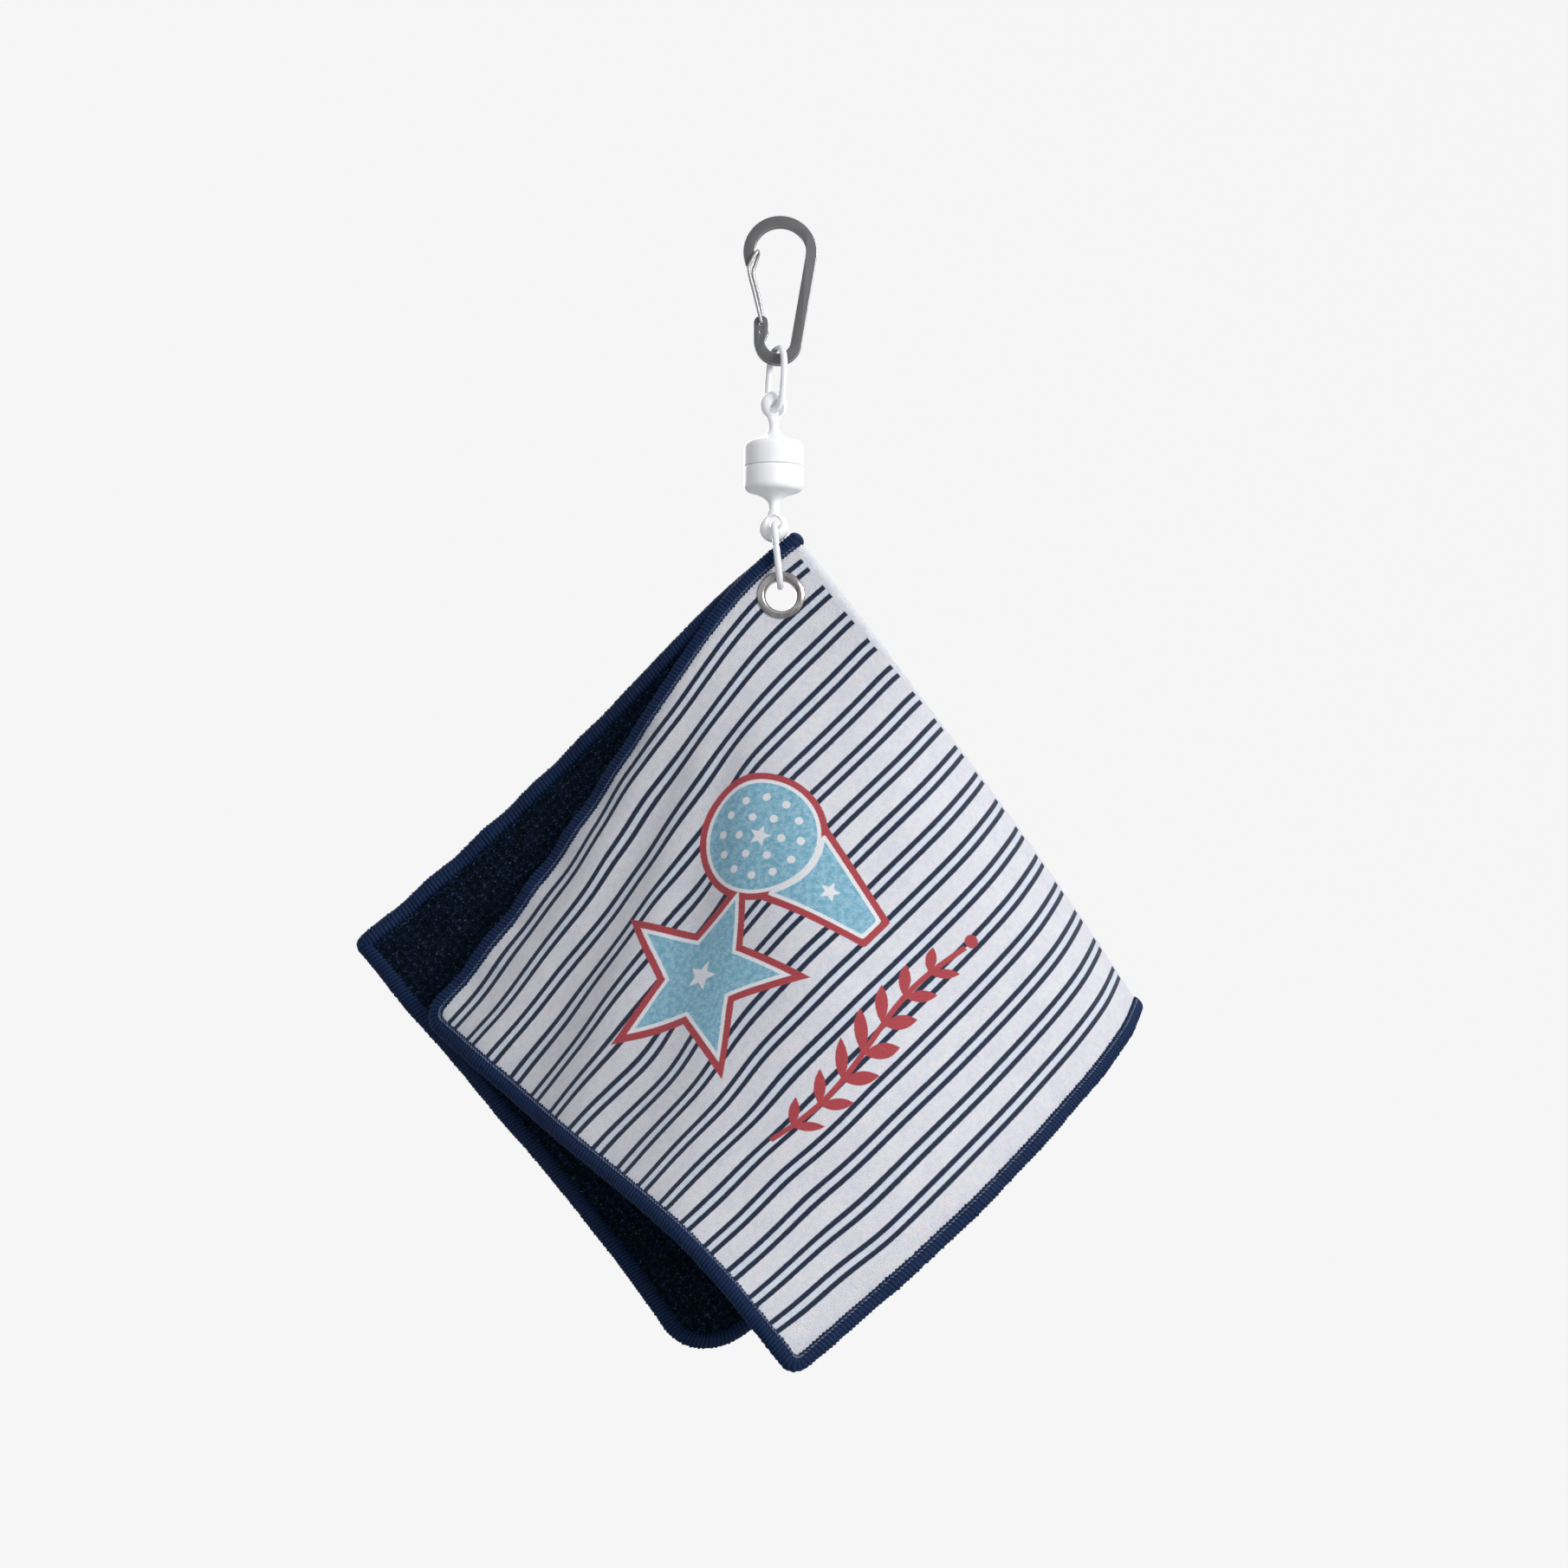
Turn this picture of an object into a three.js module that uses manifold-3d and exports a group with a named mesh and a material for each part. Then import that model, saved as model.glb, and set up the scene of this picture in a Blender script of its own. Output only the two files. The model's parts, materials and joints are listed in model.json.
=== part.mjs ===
// Clip-on golf towel: carabiner, two oval links, magnetic coupling, grommet and a towel folded
// in half that hangs by one corner. Millimetres, +Z up, the towel's printed front faces -Y.
// The origin is the hang point: the top of the carabiner's inner bow.

import * as THREE from 'three';
import { mergeVertices } from 'three/addons/utils/BufferGeometryUtils.js';
import Module from 'manifold-3d';

const wasm = await Module();
wasm.setup();

const DEG = Math.PI / 180;

// ---------- driving dimensions ----------

const GAP = 0.3;                                  // clearance between neighbouring solids

// Carabiner: a flat bar bent into a pear, with a sprung wire gate on its left side.
const BODY_WIDTH = 3.8;
const BODY_DEPTH = 3.6;
const BODY_BEVEL = 0.35;
const TOP_BOW = { x: 0, z: -8.6, radius: 12.4 };  // outer radius
const LOW_BOW = { x: -0.77, z: -38.9, radius: 8.1 };
const NOSE_ANGLE = 203 * DEG;
const NOSE_TIP = { x: -10.0, z: -13.2 };
const KNUCKLE = { x: -6.38, z: -32.8, radius: 2.48, low: -35.9 };
const GATE_WIRE = 0.6;                            // radius
const GATE_SIDE = BODY_DEPTH / 2 + GATE_WIRE + GAP + 0.05;

// Oval links: one round wire bent to a long ring.
const LINK = { wire: 1.2, halfWidth: 5.7, halfLength: 10.6 };
const UPPER_LINK = { top: -40.95, topX: -0.8, lowX: -1.9, turn: 63 * DEG };
const LOWER_LINK = { top: -100.9, topX: -2.1, lowX: 0, turn: 90 * DEG };

// Magnetic coupling: two mirrored halves that meet at the seam.
const COUPLING = {
  x: -2.1, seam: -81.5, radius: 10, height: 8.7, shoulder: 2.4,
  neck: 1.65, ball: 4.8, ballReach: 20.9, ballDepth: 0.62,
  eyeReach: 18.9, eye: 2.0, eyeMouth: 3.4,
};
const POCKET = { radius: 8.1, depth: 6.4 };
const MAGNET = { radius: 7.8, thickness: 4.35 };
const BACKING = { radius: 7.8, thickness: 1.2 };

// Towel: SIDE x 2 SIDE when laid flat, folded in half along one side of the hanging diamond.
const SIDE = 200;
const HEM_WIDTH = 5.2;
const HEM_HEIGHT = 2.7;
const HEM_CORNER = 8;                             // outer corner radius
const HEM_INNER_CORNER = 1;
const WAFFLE = { inner: 0.3, outer: 1.1 };        // heights over the folded towel's middle
const PRINTED = { inner: 1.35, outer: 1.95 };
const ROLL_LENGTH = 1.7;                          // cloth used by each half of the rolled fold
const STRIP = 27;                                 // rear strip that the grommet clamps to the front
const STRIP_GAP = 2;                              // where the rear panel flexes away from it

// How the towel hangs: a cone of cloth whose tip is the top corner. Angles in degrees, with the
// depth angle positive away from the viewer.
const TIP = { x: 2.9, z: -104.8 };
const FOLD_ANGLE = 38.2;                          // fold line from straight down
const FOLD_BEND = 2;
const FOLD_DEPTH = 5.2;
const FRONT_LAYER = { edge: 3.3, bulge: 22.8, skew: -2.6 };
const REAR_LAYER = { edge: 9, bulge: 13.5, skew: -3.8 };
const GATHER_RADIUS = 45;
const FLAT_RADIUS = 28;                           // flat round the grommet
const FULL_RADIUS = 110;
const LEAN = 7;                                   // brings the towel's weight under the grommet

const GROMMET = { x: 0.3, z: -125.3, bore: 5.2, barrel: 5.8, flange: 8 };

// ---------- solids ----------

function bare(geometry) {
  const plain = geometry.clone();
  plain.deleteAttribute('normal');
  plain.deleteAttribute('uv');
  return mergeVertices(plain, 1e-5);
}

function toSolid(geometry) {
  const merged = bare(geometry);
  return new wasm.Manifold(new wasm.Mesh({
    numProp: 3,
    vertProperties: new Float32Array(merged.attributes.position.array),
    triVerts: new Uint32Array(merged.index.array),
  }));
}

function toGeometry(solid) {
  const mesh = solid.getMesh();
  const geometry = new THREE.BufferGeometry();
  geometry.setAttribute('position', new THREE.BufferAttribute(new Float32Array(mesh.vertProperties), 3));
  geometry.setIndex(new THREE.BufferAttribute(new Uint32Array(mesh.triVerts), 1));
  return geometry;
}

// A closed slab of columns by rows cells. place(i, j, level) gives each corner, with level 0 on
// the inner face and 1 on the outer one. All cells share one diagonal direction, so that slabs
// laid over each other stay parallel.
function slab(columns, rows, place) {
  const points = [];
  for (const level of [0, 1]) {
    for (let i = 0; i <= columns; i += 1) {
      for (let j = 0; j <= rows; j += 1) {
        points.push(place(i, j, level));
      }
    }
  }
  const at = (i, j, level) => (level * (columns + 1) + i) * (rows + 1) + j;
  const faces = [];
  for (let i = 0; i < columns; i += 1) {
    for (let j = 0; j < rows; j += 1) {
      faces.push(at(i, j, 1), at(i + 1, j, 1), at(i + 1, j + 1, 1));
      faces.push(at(i, j, 1), at(i + 1, j + 1, 1), at(i, j + 1, 1));
      faces.push(at(i, j, 0), at(i + 1, j + 1, 0), at(i + 1, j, 0));
      faces.push(at(i, j, 0), at(i, j + 1, 0), at(i + 1, j + 1, 0));
    }
  }
  const wall = (a, b, topB, topA) => faces.push(a, b, topB, a, topB, topA);
  for (let i = 0; i < columns; i += 1) {
    wall(at(i, 0, 0), at(i + 1, 0, 0), at(i + 1, 0, 1), at(i, 0, 1));
    wall(at(i + 1, rows, 0), at(i, rows, 0), at(i, rows, 1), at(i + 1, rows, 1));
  }
  for (let j = 0; j < rows; j += 1) {
    wall(at(0, j + 1, 0), at(0, j, 0), at(0, j, 1), at(0, j + 1, 1));
    wall(at(columns, j, 0), at(columns, j + 1, 0), at(columns, j + 1, 1), at(columns, j, 1));
  }
  const geometry = new THREE.BufferGeometry().setFromPoints(points);
  geometry.setIndex(faces);
  if (signedVolume(geometry) < 0) {
    geometry.setIndex(faces.reverse());
  }
  return geometry;
}

function signedVolume(geometry) {
  const position = geometry.attributes.position;
  const index = geometry.index.array;
  const corners = [new THREE.Vector3(), new THREE.Vector3(), new THREE.Vector3()];
  let volume = 0;
  for (let i = 0; i < index.length; i += 3) {
    corners.forEach((corner, k) => corner.fromBufferAttribute(position, index[i + k]));
    volume += corners[0].dot(corners[1].cross(corners[2])) / 6;
  }
  return volume;
}

// A cylinder along Y, for holes through the carabiner and the cloth.
function drill(x, z, radius, y0, y1, sides) {
  const cylinder = new THREE.CylinderGeometry(radius, radius, y1 - y0, sides);
  cylinder.translate(x, (y0 + y1) / 2, z);
  return toSolid(cylinder);
}

const lathe = (profile, sides) => new THREE.LatheGeometry(
  profile.map(([radius, height]) => new THREE.Vector2(radius, height)), sides);

// ---------- materials and assembly ----------

const finish = (color, roughness, metalness) => new THREE.MeshStandardMaterial({ color, roughness, metalness });
const MATERIALS = {
  anodised: () => finish(0x585858, 0.5, 0.8),
  steel: () => finish(0xcfcfcf, 0.25, 1),
  plastic: () => finish(0xf2f4f7, 0.35, 0),
  coated: () => finish(0xf4f4f6, 0.3, 0),
  magnet: () => finish(0x9a9c9e, 0.3, 1),
  nickel: () => finish(0x8d8a86, 0.25, 1),
  print: () => finish(0xe4e4ec, 0.95, 0),
  waffle: () => finish(0x10193a, 0.95, 0),
  thread: () => finish(0x14224e, 0.8, 0),
};

const towel = new THREE.Group();

function add(name, geometry, material) {
  const mesh = new THREE.Mesh(geometry, MATERIALS[material]());
  mesh.name = name;
  towel.add(mesh);
  return mesh;
}

// ---------- carabiner ----------

function carabinerBody() {
  const inside = BODY_WIDTH;
  const rise = Math.hypot(TOP_BOW.x - LOW_BOW.x, TOP_BOW.z - LOW_BOW.z);
  const slant = Math.atan2(TOP_BOW.x - LOW_BOW.x, TOP_BOW.z - LOW_BOW.z);
  const spine = -Math.asin((TOP_BOW.radius - LOW_BOW.radius) / rise) - slant;
  const shape = new THREE.Shape();
  shape.absarc(TOP_BOW.x, TOP_BOW.z, TOP_BOW.radius, NOSE_ANGLE, spine, true);
  shape.absarc(LOW_BOW.x, LOW_BOW.z, LOW_BOW.radius, spine, -Math.PI, true);
  shape.absarc(KNUCKLE.x, KNUCKLE.z, KNUCKLE.radius, Math.PI, 0, true);
  shape.lineTo(KNUCKLE.x + KNUCKLE.radius, KNUCKLE.low);
  shape.absarc(LOW_BOW.x, LOW_BOW.z, LOW_BOW.radius - inside, -Math.PI, spine, false);
  shape.absarc(TOP_BOW.x, TOP_BOW.z, TOP_BOW.radius - inside, spine, Math.PI, false);
  shape.lineTo(NOSE_TIP.x, NOSE_TIP.z);
  const plate = new THREE.ExtrudeGeometry(shape, {
    depth: BODY_DEPTH - 2 * BODY_BEVEL,
    curveSegments: 12,
    bevelThickness: BODY_BEVEL,
    bevelSize: BODY_BEVEL,
    bevelOffset: -BODY_BEVEL,
    bevelSegments: 1,
  });
  plate.translate(0, 0, BODY_BEVEL - BODY_DEPTH / 2);
  plate.rotateX(Math.PI / 2);
  const pivot = drill(KNUCKLE.x, KNUCKLE.z, GATE_WIRE + GAP + 0.05, -BODY_DEPTH, BODY_DEPTH, 12);
  const dimpleDepth = 0.5;
  const dimple = drill(KNUCKLE.x, KNUCKLE.low, GATE_WIRE, -BODY_DEPTH, dimpleDepth - BODY_DEPTH / 2, 12);
  return toGeometry(toSolid(plate).subtract(pivot).subtract(dimple));
}

// One springy wire: in at the front of the pivot, up to the nose, across, and down behind.
function gateWire() {
  const insideEnd = 0.5;
  const front = [
    [KNUCKLE.x, -insideEnd, KNUCKLE.z],
    [KNUCKLE.x, -GATE_SIDE + 0.9, KNUCKLE.z],
    [KNUCKLE.x - 0.15, -GATE_SIDE, KNUCKLE.z + 0.9],
    [-8.5, -GATE_SIDE, -23.5],
    [-10.5, -GATE_SIDE, -15.1],
    [-9.4, -GATE_SIDE, -11.4],
    [-7.9, -GATE_SIDE + 0.4, -8.9],
    [-7.5, -1.4, -8.3],
  ];
  const back = front.map(([x, y, z]) => [x, -y, z]).reverse();
  const points = [...front, ...back].map((point) => new THREE.Vector3(...point));
  const route = new THREE.CatmullRomCurve3(points, false, 'centripetal');
  const section = new THREE.Shape();
  section.absarc(0, 0, GATE_WIRE, 0, 2 * Math.PI, false);
  return new THREE.ExtrudeGeometry(section, { steps: 44, curveSegments: 4, extrudePath: route });
}

// ---------- links ----------

// An oval ring in the XZ plane, centred on its own middle.
function ovalLink() {
  const ring = new THREE.TorusGeometry(LINK.halfWidth, LINK.wire, 8, 28);
  const stretch = LINK.halfLength - LINK.halfWidth;
  const position = ring.attributes.position;
  for (let i = 0; i < position.count; i += 1) {
    const along = Math.sin(Math.atan2(position.getY(i), position.getX(i)));
    position.setY(i, position.getY(i) + stretch * THREE.MathUtils.clamp(2.5 * along, -1, 1));
  }
  ring.rotateX(Math.PI / 2);
  return toGeometry(toSolid(ring));
}

// turn is the angle between the ring's plane and the XZ plane.
function addLink(name, { top, topX, lowX, turn }) {
  const link = add(name, ovalLink(), 'coated');
  const lean = Math.asin((topX - lowX) / (2 * LINK.halfLength));
  link.position.set((topX + lowX) / 2, 0, top - LINK.halfLength);
  link.rotation.set(0, lean, -turn);
}

// ---------- magnetic coupling ----------

// One half standing on the seam plane, with its eye at the top. eyeTurn is the angle from the
// Y axis, about Z, of the eye's hole.
function couplingHalf(eyeTurn) {
  const { radius, height, shoulder, neck, ball, ballReach, ballDepth, eyeReach, eye, eyeMouth } = COUPLING;
  const face = GAP / 2;
  const rounding = [0, 22.5, 45, 67.5, 90].map((angle) => [
    radius - shoulder * (1 - Math.cos(angle * DEG)),
    height - shoulder * (1 - Math.sin(angle * DEG)),
  ]);
  const cap = toSolid(lathe([
    [0, POCKET.depth], [POCKET.radius, POCKET.depth], [POCKET.radius, face], [radius, face],
    ...rounding,
    [neck * 2.1, height + 0.25], [neck * 1.35, height + 1.6], [neck, height + 3.6],
    [neck, height + 5.6], [neck * 1.5, height + 7.4], [0, height + 9],
  ], 28).rotateX(Math.PI / 2));
  const knob = new THREE.SphereGeometry(ball, 18, 12);
  knob.scale(1, ballDepth, 1);
  const mouth = ball * ballDepth + 0.2;
  const hole = lathe([[0, -mouth], [eyeMouth, -mouth], [eye, -0.8], [eye, 0.8], [eyeMouth, mouth], [0, mouth]], 16);
  knob.translate(0, 0, ballReach);
  hole.translate(0, 0, eyeReach);
  knob.rotateZ(eyeTurn);
  hole.rotateZ(eyeTurn);
  return toGeometry(cap.add(toSolid(knob)).subtract(toSolid(hole)));
}

// Disc with its axis along Z, from the given height over the seam.
function disc(radius, bottom, thickness) {
  const plate = new THREE.CylinderGeometry(radius, radius, thickness, 28);
  plate.rotateX(Math.PI / 2);
  plate.translate(0, 0, bottom + thickness / 2);
  return plate;
}

function addCoupling() {
  const magnetFace = GAP;
  const backingFace = magnetFace + MAGNET.thickness + GAP;
  const halves = [
    { prefix: 'upper', flip: 0, eyeTurn: Math.PI / 2 - UPPER_LINK.turn },
    { prefix: 'lower', flip: Math.PI, eyeTurn: 0 },
  ];
  for (const { prefix, flip, eyeTurn } of halves) {
    const pieces = [
      add(`${prefix}_coupling_housing`, couplingHalf(eyeTurn), 'plastic'),
      add(`${prefix}_magnet`, disc(MAGNET.radius, magnetFace, MAGNET.thickness), 'magnet'),
      add(`${prefix}_backing_plate`, disc(BACKING.radius, backingFace, BACKING.thickness), 'steel'),
    ];
    for (const piece of pieces) {
      piece.position.set(COUPLING.x, 0, COUPLING.seam);
      piece.rotation.x = flip;
    }
  }
}

// ---------- hanging cloth ----------

// Depth angle of the cone at each angle from the fold, and how much narrower the cone looks
// from the front than the flat cloth does.
function layerShape({ edge, bulge, skew }) {
  const depth = (angle) => {
    const u = angle / 90;
    return FOLD_DEPTH * (1 - u) + edge * u - bulge * Math.sin(Math.PI * u) + skew * Math.sin(2 * Math.PI * u);
  };
  const steps = 180;
  const step = 90 / steps;
  const narrowing = [0];
  for (let i = 0; i < steps; i += 1) {
    const slope = (depth((i + 1) * step) - depth(i * step)) / step;
    const rate = Math.sqrt(Math.max(1 - slope * slope, 0.02)) / Math.cos(depth((i + 0.5) * step) * DEG);
    narrowing.push(narrowing[i] + (1 - rate) * step);
  }
  const before = (angle) => Math.min(Math.floor(angle / step), narrowing.length - 2);
  return {
    depth,
    narrowing: (angle) => THREE.MathUtils.lerp(
      narrowing[before(angle)],
      narrowing[before(angle) + 1],
      angle / step - before(angle),
    ),
  };
}

const LAYERS = { 1: layerShape(FRONT_LAYER), [-1]: layerShape(REAR_LAYER) };

// Middle surface of a layer. side is 1 in front and -1 behind, s is the distance from the fold,
// and t is the distance along the fold from the top.
function surface(side, s, t) {
  const r = Math.hypot(s, t) + 1e-6;
  const angle = THREE.MathUtils.clamp(Math.atan2(s, t) / DEG, 0, 90);
  const gathered = r * r / (r * r + GATHER_RADIUS * GATHER_RADIUS);
  const settled = THREE.MathUtils.smoothstep(r, FLAT_RADIUS, FULL_RADIUS);
  const depth = settled * LAYERS[side].depth(angle) * DEG;
  const bend = FOLD_BEND * (r / SIDE) ** 2;
  const turned = (FOLD_ANGLE - bend - angle + gathered * LAYERS[side].narrowing(angle)) * DEG;
  const point = new THREE.Vector3(
    r * Math.sin(turned) * Math.cos(depth),
    r * Math.sin(depth),
    -r * Math.cos(turned) * Math.cos(depth),
  );
  point.applyAxisAngle(new THREE.Vector3(1, 0, 0), settled * LEAN * DEG);
  return point.add(new THREE.Vector3(TIP.x, 0, TIP.z));
}

function surfaceFrame(side, s, t) {
  const reach = 0.5;
  const s0 = Math.max(s - reach, 0);
  const t0 = Math.max(t - reach, 0);
  const acrossFold = surface(side, s + reach, t).sub(surface(side, s0, t)).normalize();
  const alongFold = surface(side, s, t + reach).sub(surface(side, s, t0));
  const outward = acrossFold.clone().cross(alongFold).normalize().multiplyScalar(side);
  return { acrossFold, outward };
}

// A point of the folded towel: v runs across the fold, negative behind it, t along the fold, and
// height is measured outward from the towel's middle.
function clothPoint(v, t, height) {
  const side = v >= 0 ? 1 : -1;
  const past = Math.abs(v) - ROLL_LENGTH;
  if (past >= 0) {
    return surface(side, past, t).addScaledVector(surfaceFrame(side, past, t).outward, height);
  }
  const front = surfaceFrame(1, 0, t);
  const rear = surfaceFrame(-1, 0, t);
  const edge = front.acrossFold.clone().add(rear.acrossFold).normalize().negate();
  const outward = side > 0 ? front.outward : rear.outward;
  const turn = Math.abs(v) / ROLL_LENGTH * edge.angleTo(outward);
  const axis = edge.clone().cross(outward).normalize();
  return surface(1, 0, t).addScaledVector(edge.applyAxisAngle(axis, turn), height);
}

// Values of v from the rolled fold out to a far edge: close together where the cloth turns.
function acrossCloth(fromV, toV, count) {
  const stations = [];
  for (let i = 0; i <= count; i += 1) {
    stations.push(fromV + (toV - fromV) * (i / count) ** 1.4);
  }
  return stations;
}

// A ply through a list of values of v, inside the hems.
function ply(stations, { inner, outer }) {
  const margin = HEM_WIDTH + GAP + 0.15;
  const rows = 13;
  return slab(stations.length - 1, rows, (i, j, level) => {
    const t = margin + (SIDE - 2 * margin) * (j / rows);
    return clothPoint(stations[i], t, level ? outer : inner);
  });
}

function quarterTurn(centre, radius, start) {
  return [0, 30, 60, 90].map((angle) => {
    const direction = (start + angle) * DEG;
    return [centre[0] + radius * Math.cos(direction), centre[1] + radius * Math.sin(direction)];
  });
}

// Stations round the free edges of a layer, as pairs of inner and outer points in the flat cloth.
function hemStations(across, steps) {
  const low = HEM_WIDTH;
  const high = SIDE - HEM_WIDTH;
  const stations = [];
  const corner = (t, start) => {
    const inward = t < SIDE / 2 ? 1 : -1;
    const innerEdge = t < SIDE / 2 ? low : high;
    const inner = quarterTurn([high - HEM_INNER_CORNER, innerEdge + inward * HEM_INNER_CORNER], HEM_INNER_CORNER, start);
    const outer = quarterTurn([SIDE - HEM_CORNER, t + inward * HEM_CORNER], HEM_CORNER, start);
    inner.forEach((point, i) => stations.push([point, outer[i]]));
  };
  across.forEach((v) => stations.push([[v, low], [v, 0]]));
  corner(0, -90);
  for (let i = 1; i < steps; i += 1) {
    const t = HEM_CORNER + (SIDE - 2 * HEM_CORNER) * (i / steps);
    stations.push([[high, t], [SIDE, t]]);
  }
  corner(SIDE, 0);
  across.toReversed().forEach((v) => stations.push([[v, high], [v, SIDE]]));
  return stations;
}

// A hem: a flattened bead that follows the stations. side mirrors it to the rear layer.
function hem(stations, side) {
  const middle = (WAFFLE.inner + PRINTED.outer) / 2 + 0.25;
  const fullness = [0.6, 1, 0.6];
  return slab(stations.length - 1, fullness.length - 1, (i, j, level) => {
    const [inner, outer] = stations[i];
    const across = j / (fullness.length - 1);
    const v = inner[0] + (outer[0] - inner[0]) * across;
    const t = inner[1] + (outer[1] - inner[1]) * across;
    return clothPoint(side * v, t, middle + (level - 0.5) * HEM_HEIGHT * fullness[j]);
  });
}

// A short straight hem on the rear strip, along t = 0 or t = SIDE.
function stripHem(innerT, outerT) {
  const across = acrossCloth(ROLL_LENGTH + GAP, STRIP, 4);
  return hem(across.map((v) => [[v, innerT], [v, outerT]]), -1);
}

function addTowel() {
  const hole = drill(GROMMET.x, GROMMET.z, GROMMET.barrel + GAP, -6, 6, 24);
  const pierced = (geometry) => toGeometry(toSolid(geometry).subtract(hole));
  const layerEdge = SIDE - HEM_WIDTH - GAP - 0.15;
  const hemEdge = SIDE - HEM_CORNER - 1;
  const panelStart = STRIP + STRIP_GAP;
  const roll = [-1, -0.5, 0, 0.5].map((part) => part * ROLL_LENGTH);
  const front = roll.concat(acrossCloth(ROLL_LENGTH, layerEdge, 13));
  const strip = acrossCloth(-ROLL_LENGTH - GAP, -STRIP, 4);
  const panel = acrossCloth(-panelStart, -layerEdge, 11);
  for (const [kind, heights, material] of [['printed', PRINTED, 'print'], ['waffle', WAFFLE, 'waffle']]) {
    add(`front_${kind}_ply`, pierced(ply(front, heights)), material);
    add(`rear_strip_${kind}_ply`, pierced(ply(strip, heights)), material);
    add(`rear_${kind}_ply`, ply(panel, heights), material);
  }
  const frontHem = roll.concat(acrossCloth(ROLL_LENGTH, hemEdge, 13));
  add('front_hem', hem(hemStations(frontHem, 15), 1), 'thread');
  add('rear_strip_hem_top', stripHem(HEM_WIDTH, 0), 'thread');
  add('rear_strip_hem_bottom', stripHem(SIDE - HEM_WIDTH, SIDE), 'thread');
  add('rear_hem', hem(hemStations(acrossCloth(panelStart, hemEdge, 12), 12), -1), 'thread');
}

// ---------- grommet ----------

// Both rings turn about Y. Profiles are [radius, distance behind the towel's middle].
function addGrommet() {
  const eyelet = lathe([
    [GROMMET.bore, -1.1], [GROMMET.bore + 0.35, -2.1], [GROMMET.bore + 1.1, -2.8], [GROMMET.bore + 2, -2.85],
    [GROMMET.flange, -2.25], [GROMMET.barrel + 0.3, -2.2], [GROMMET.barrel, -1.9],
    [GROMMET.barrel, 2.7], [GROMMET.barrel + 0.3, 2.85], [GROMMET.barrel + 1, 2.9],
    [GROMMET.barrel + 0.9, 3.15], [GROMMET.barrel + 0.2, 3.25], [GROMMET.bore + 0.35, 2.9],
    [GROMMET.bore, 1.9], [GROMMET.bore, -1.1],
  ], 28);
  const washer = lathe([
    [GROMMET.barrel + GAP, 2.2], [GROMMET.flange, 2.2], [GROMMET.flange, 2.4],
    [GROMMET.flange - 0.6, 2.6], [GROMMET.barrel + GAP, 2.6], [GROMMET.barrel + GAP, 2.2],
  ], 28);
  for (const [name, ring] of [['grommet_eyelet', eyelet], ['grommet_washer', washer]]) {
    add(name, toGeometry(toSolid(ring)), 'nickel').position.set(GROMMET.x, 0, GROMMET.z);
  }
}

// ---------- the whole part ----------

add('carabiner_body', carabinerBody(), 'anodised');
add('gate_wire', gateWire(), 'steel');
addLink('upper_link', UPPER_LINK);
addCoupling();
addLink('lower_link', LOWER_LINK);
addTowel();
addGrommet();

export default towel;
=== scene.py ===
"""Looks of a clip-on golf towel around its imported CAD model.

Metres, +Z up. The origin is the top of the carabiner's inner bow, and the printed front faces -Y.
Shapes are worked out in millimetres and turned into metres when a piece is made.
"""
import json
import math
from contextlib import contextmanager

import bmesh
import bpy
import numpy as np
from mathutils import Matrix, Vector


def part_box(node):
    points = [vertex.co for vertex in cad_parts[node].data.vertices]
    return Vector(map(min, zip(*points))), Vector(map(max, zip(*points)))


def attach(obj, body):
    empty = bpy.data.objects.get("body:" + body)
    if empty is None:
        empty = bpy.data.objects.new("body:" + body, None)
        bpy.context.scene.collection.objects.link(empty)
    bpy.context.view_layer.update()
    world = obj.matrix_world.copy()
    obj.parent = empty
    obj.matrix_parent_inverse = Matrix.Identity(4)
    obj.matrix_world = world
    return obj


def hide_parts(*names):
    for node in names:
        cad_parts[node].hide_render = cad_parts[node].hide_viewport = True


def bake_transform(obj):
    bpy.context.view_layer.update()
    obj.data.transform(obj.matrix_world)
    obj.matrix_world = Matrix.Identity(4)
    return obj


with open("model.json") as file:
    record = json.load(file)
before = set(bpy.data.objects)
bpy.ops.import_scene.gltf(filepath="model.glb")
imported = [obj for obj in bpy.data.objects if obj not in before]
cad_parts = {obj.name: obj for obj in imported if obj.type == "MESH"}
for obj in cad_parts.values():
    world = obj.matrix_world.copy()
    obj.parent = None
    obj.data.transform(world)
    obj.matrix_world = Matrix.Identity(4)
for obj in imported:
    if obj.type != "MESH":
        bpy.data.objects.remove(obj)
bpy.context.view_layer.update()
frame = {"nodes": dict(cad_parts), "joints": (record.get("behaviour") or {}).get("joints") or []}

MM = 0.001
PI = math.pi

# ---------- driving sizes, in millimetres ----------

SIDE = 200.0  # the folded towel; the cut cloth is SIDE x 2 SIDE
ROLL = 1.7  # cloth used by each half of the rolled fold
MEET = -2.0  # where the front and the rear half of the cloth meet, behind the fold
TIP = (2.9, 0.0, -104.8)
FOLD_ANGLE = 38.2
FOLD_BEND = 2.0
FOLD_DEPTH = 5.2
FRONT_LAYER = {"edge": 3.3, "bulge": 22.8, "skew": -2.6, "crest": 0.14}  # a smaller crest is a sharper ridge
REAR_LAYER = {"edge": 9.0, "bulge": 13.5, "skew": -3.8, "crest": 0.5}
GATHER_RADIUS = 45.0
FLAT_RADIUS = 28.0
FULL_RADIUS = 110.0
LEAN = 7.0
RIDGE_DRIFT = 6.0  # how far the front ridge wanders toward the open edge, in degrees at SIDE
OPEN_STRETCH = 0.034  # longer along the open top edge, at SIDE
BIAS_STRETCH = 0.024  # longer on the diagonal, where the cloth hangs on its bias
BIAS_TURN = 1.1  # and turned, in degrees
SLACK_REACH = 9.0  # how far the waves of the stitched edges run into the cloth

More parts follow.
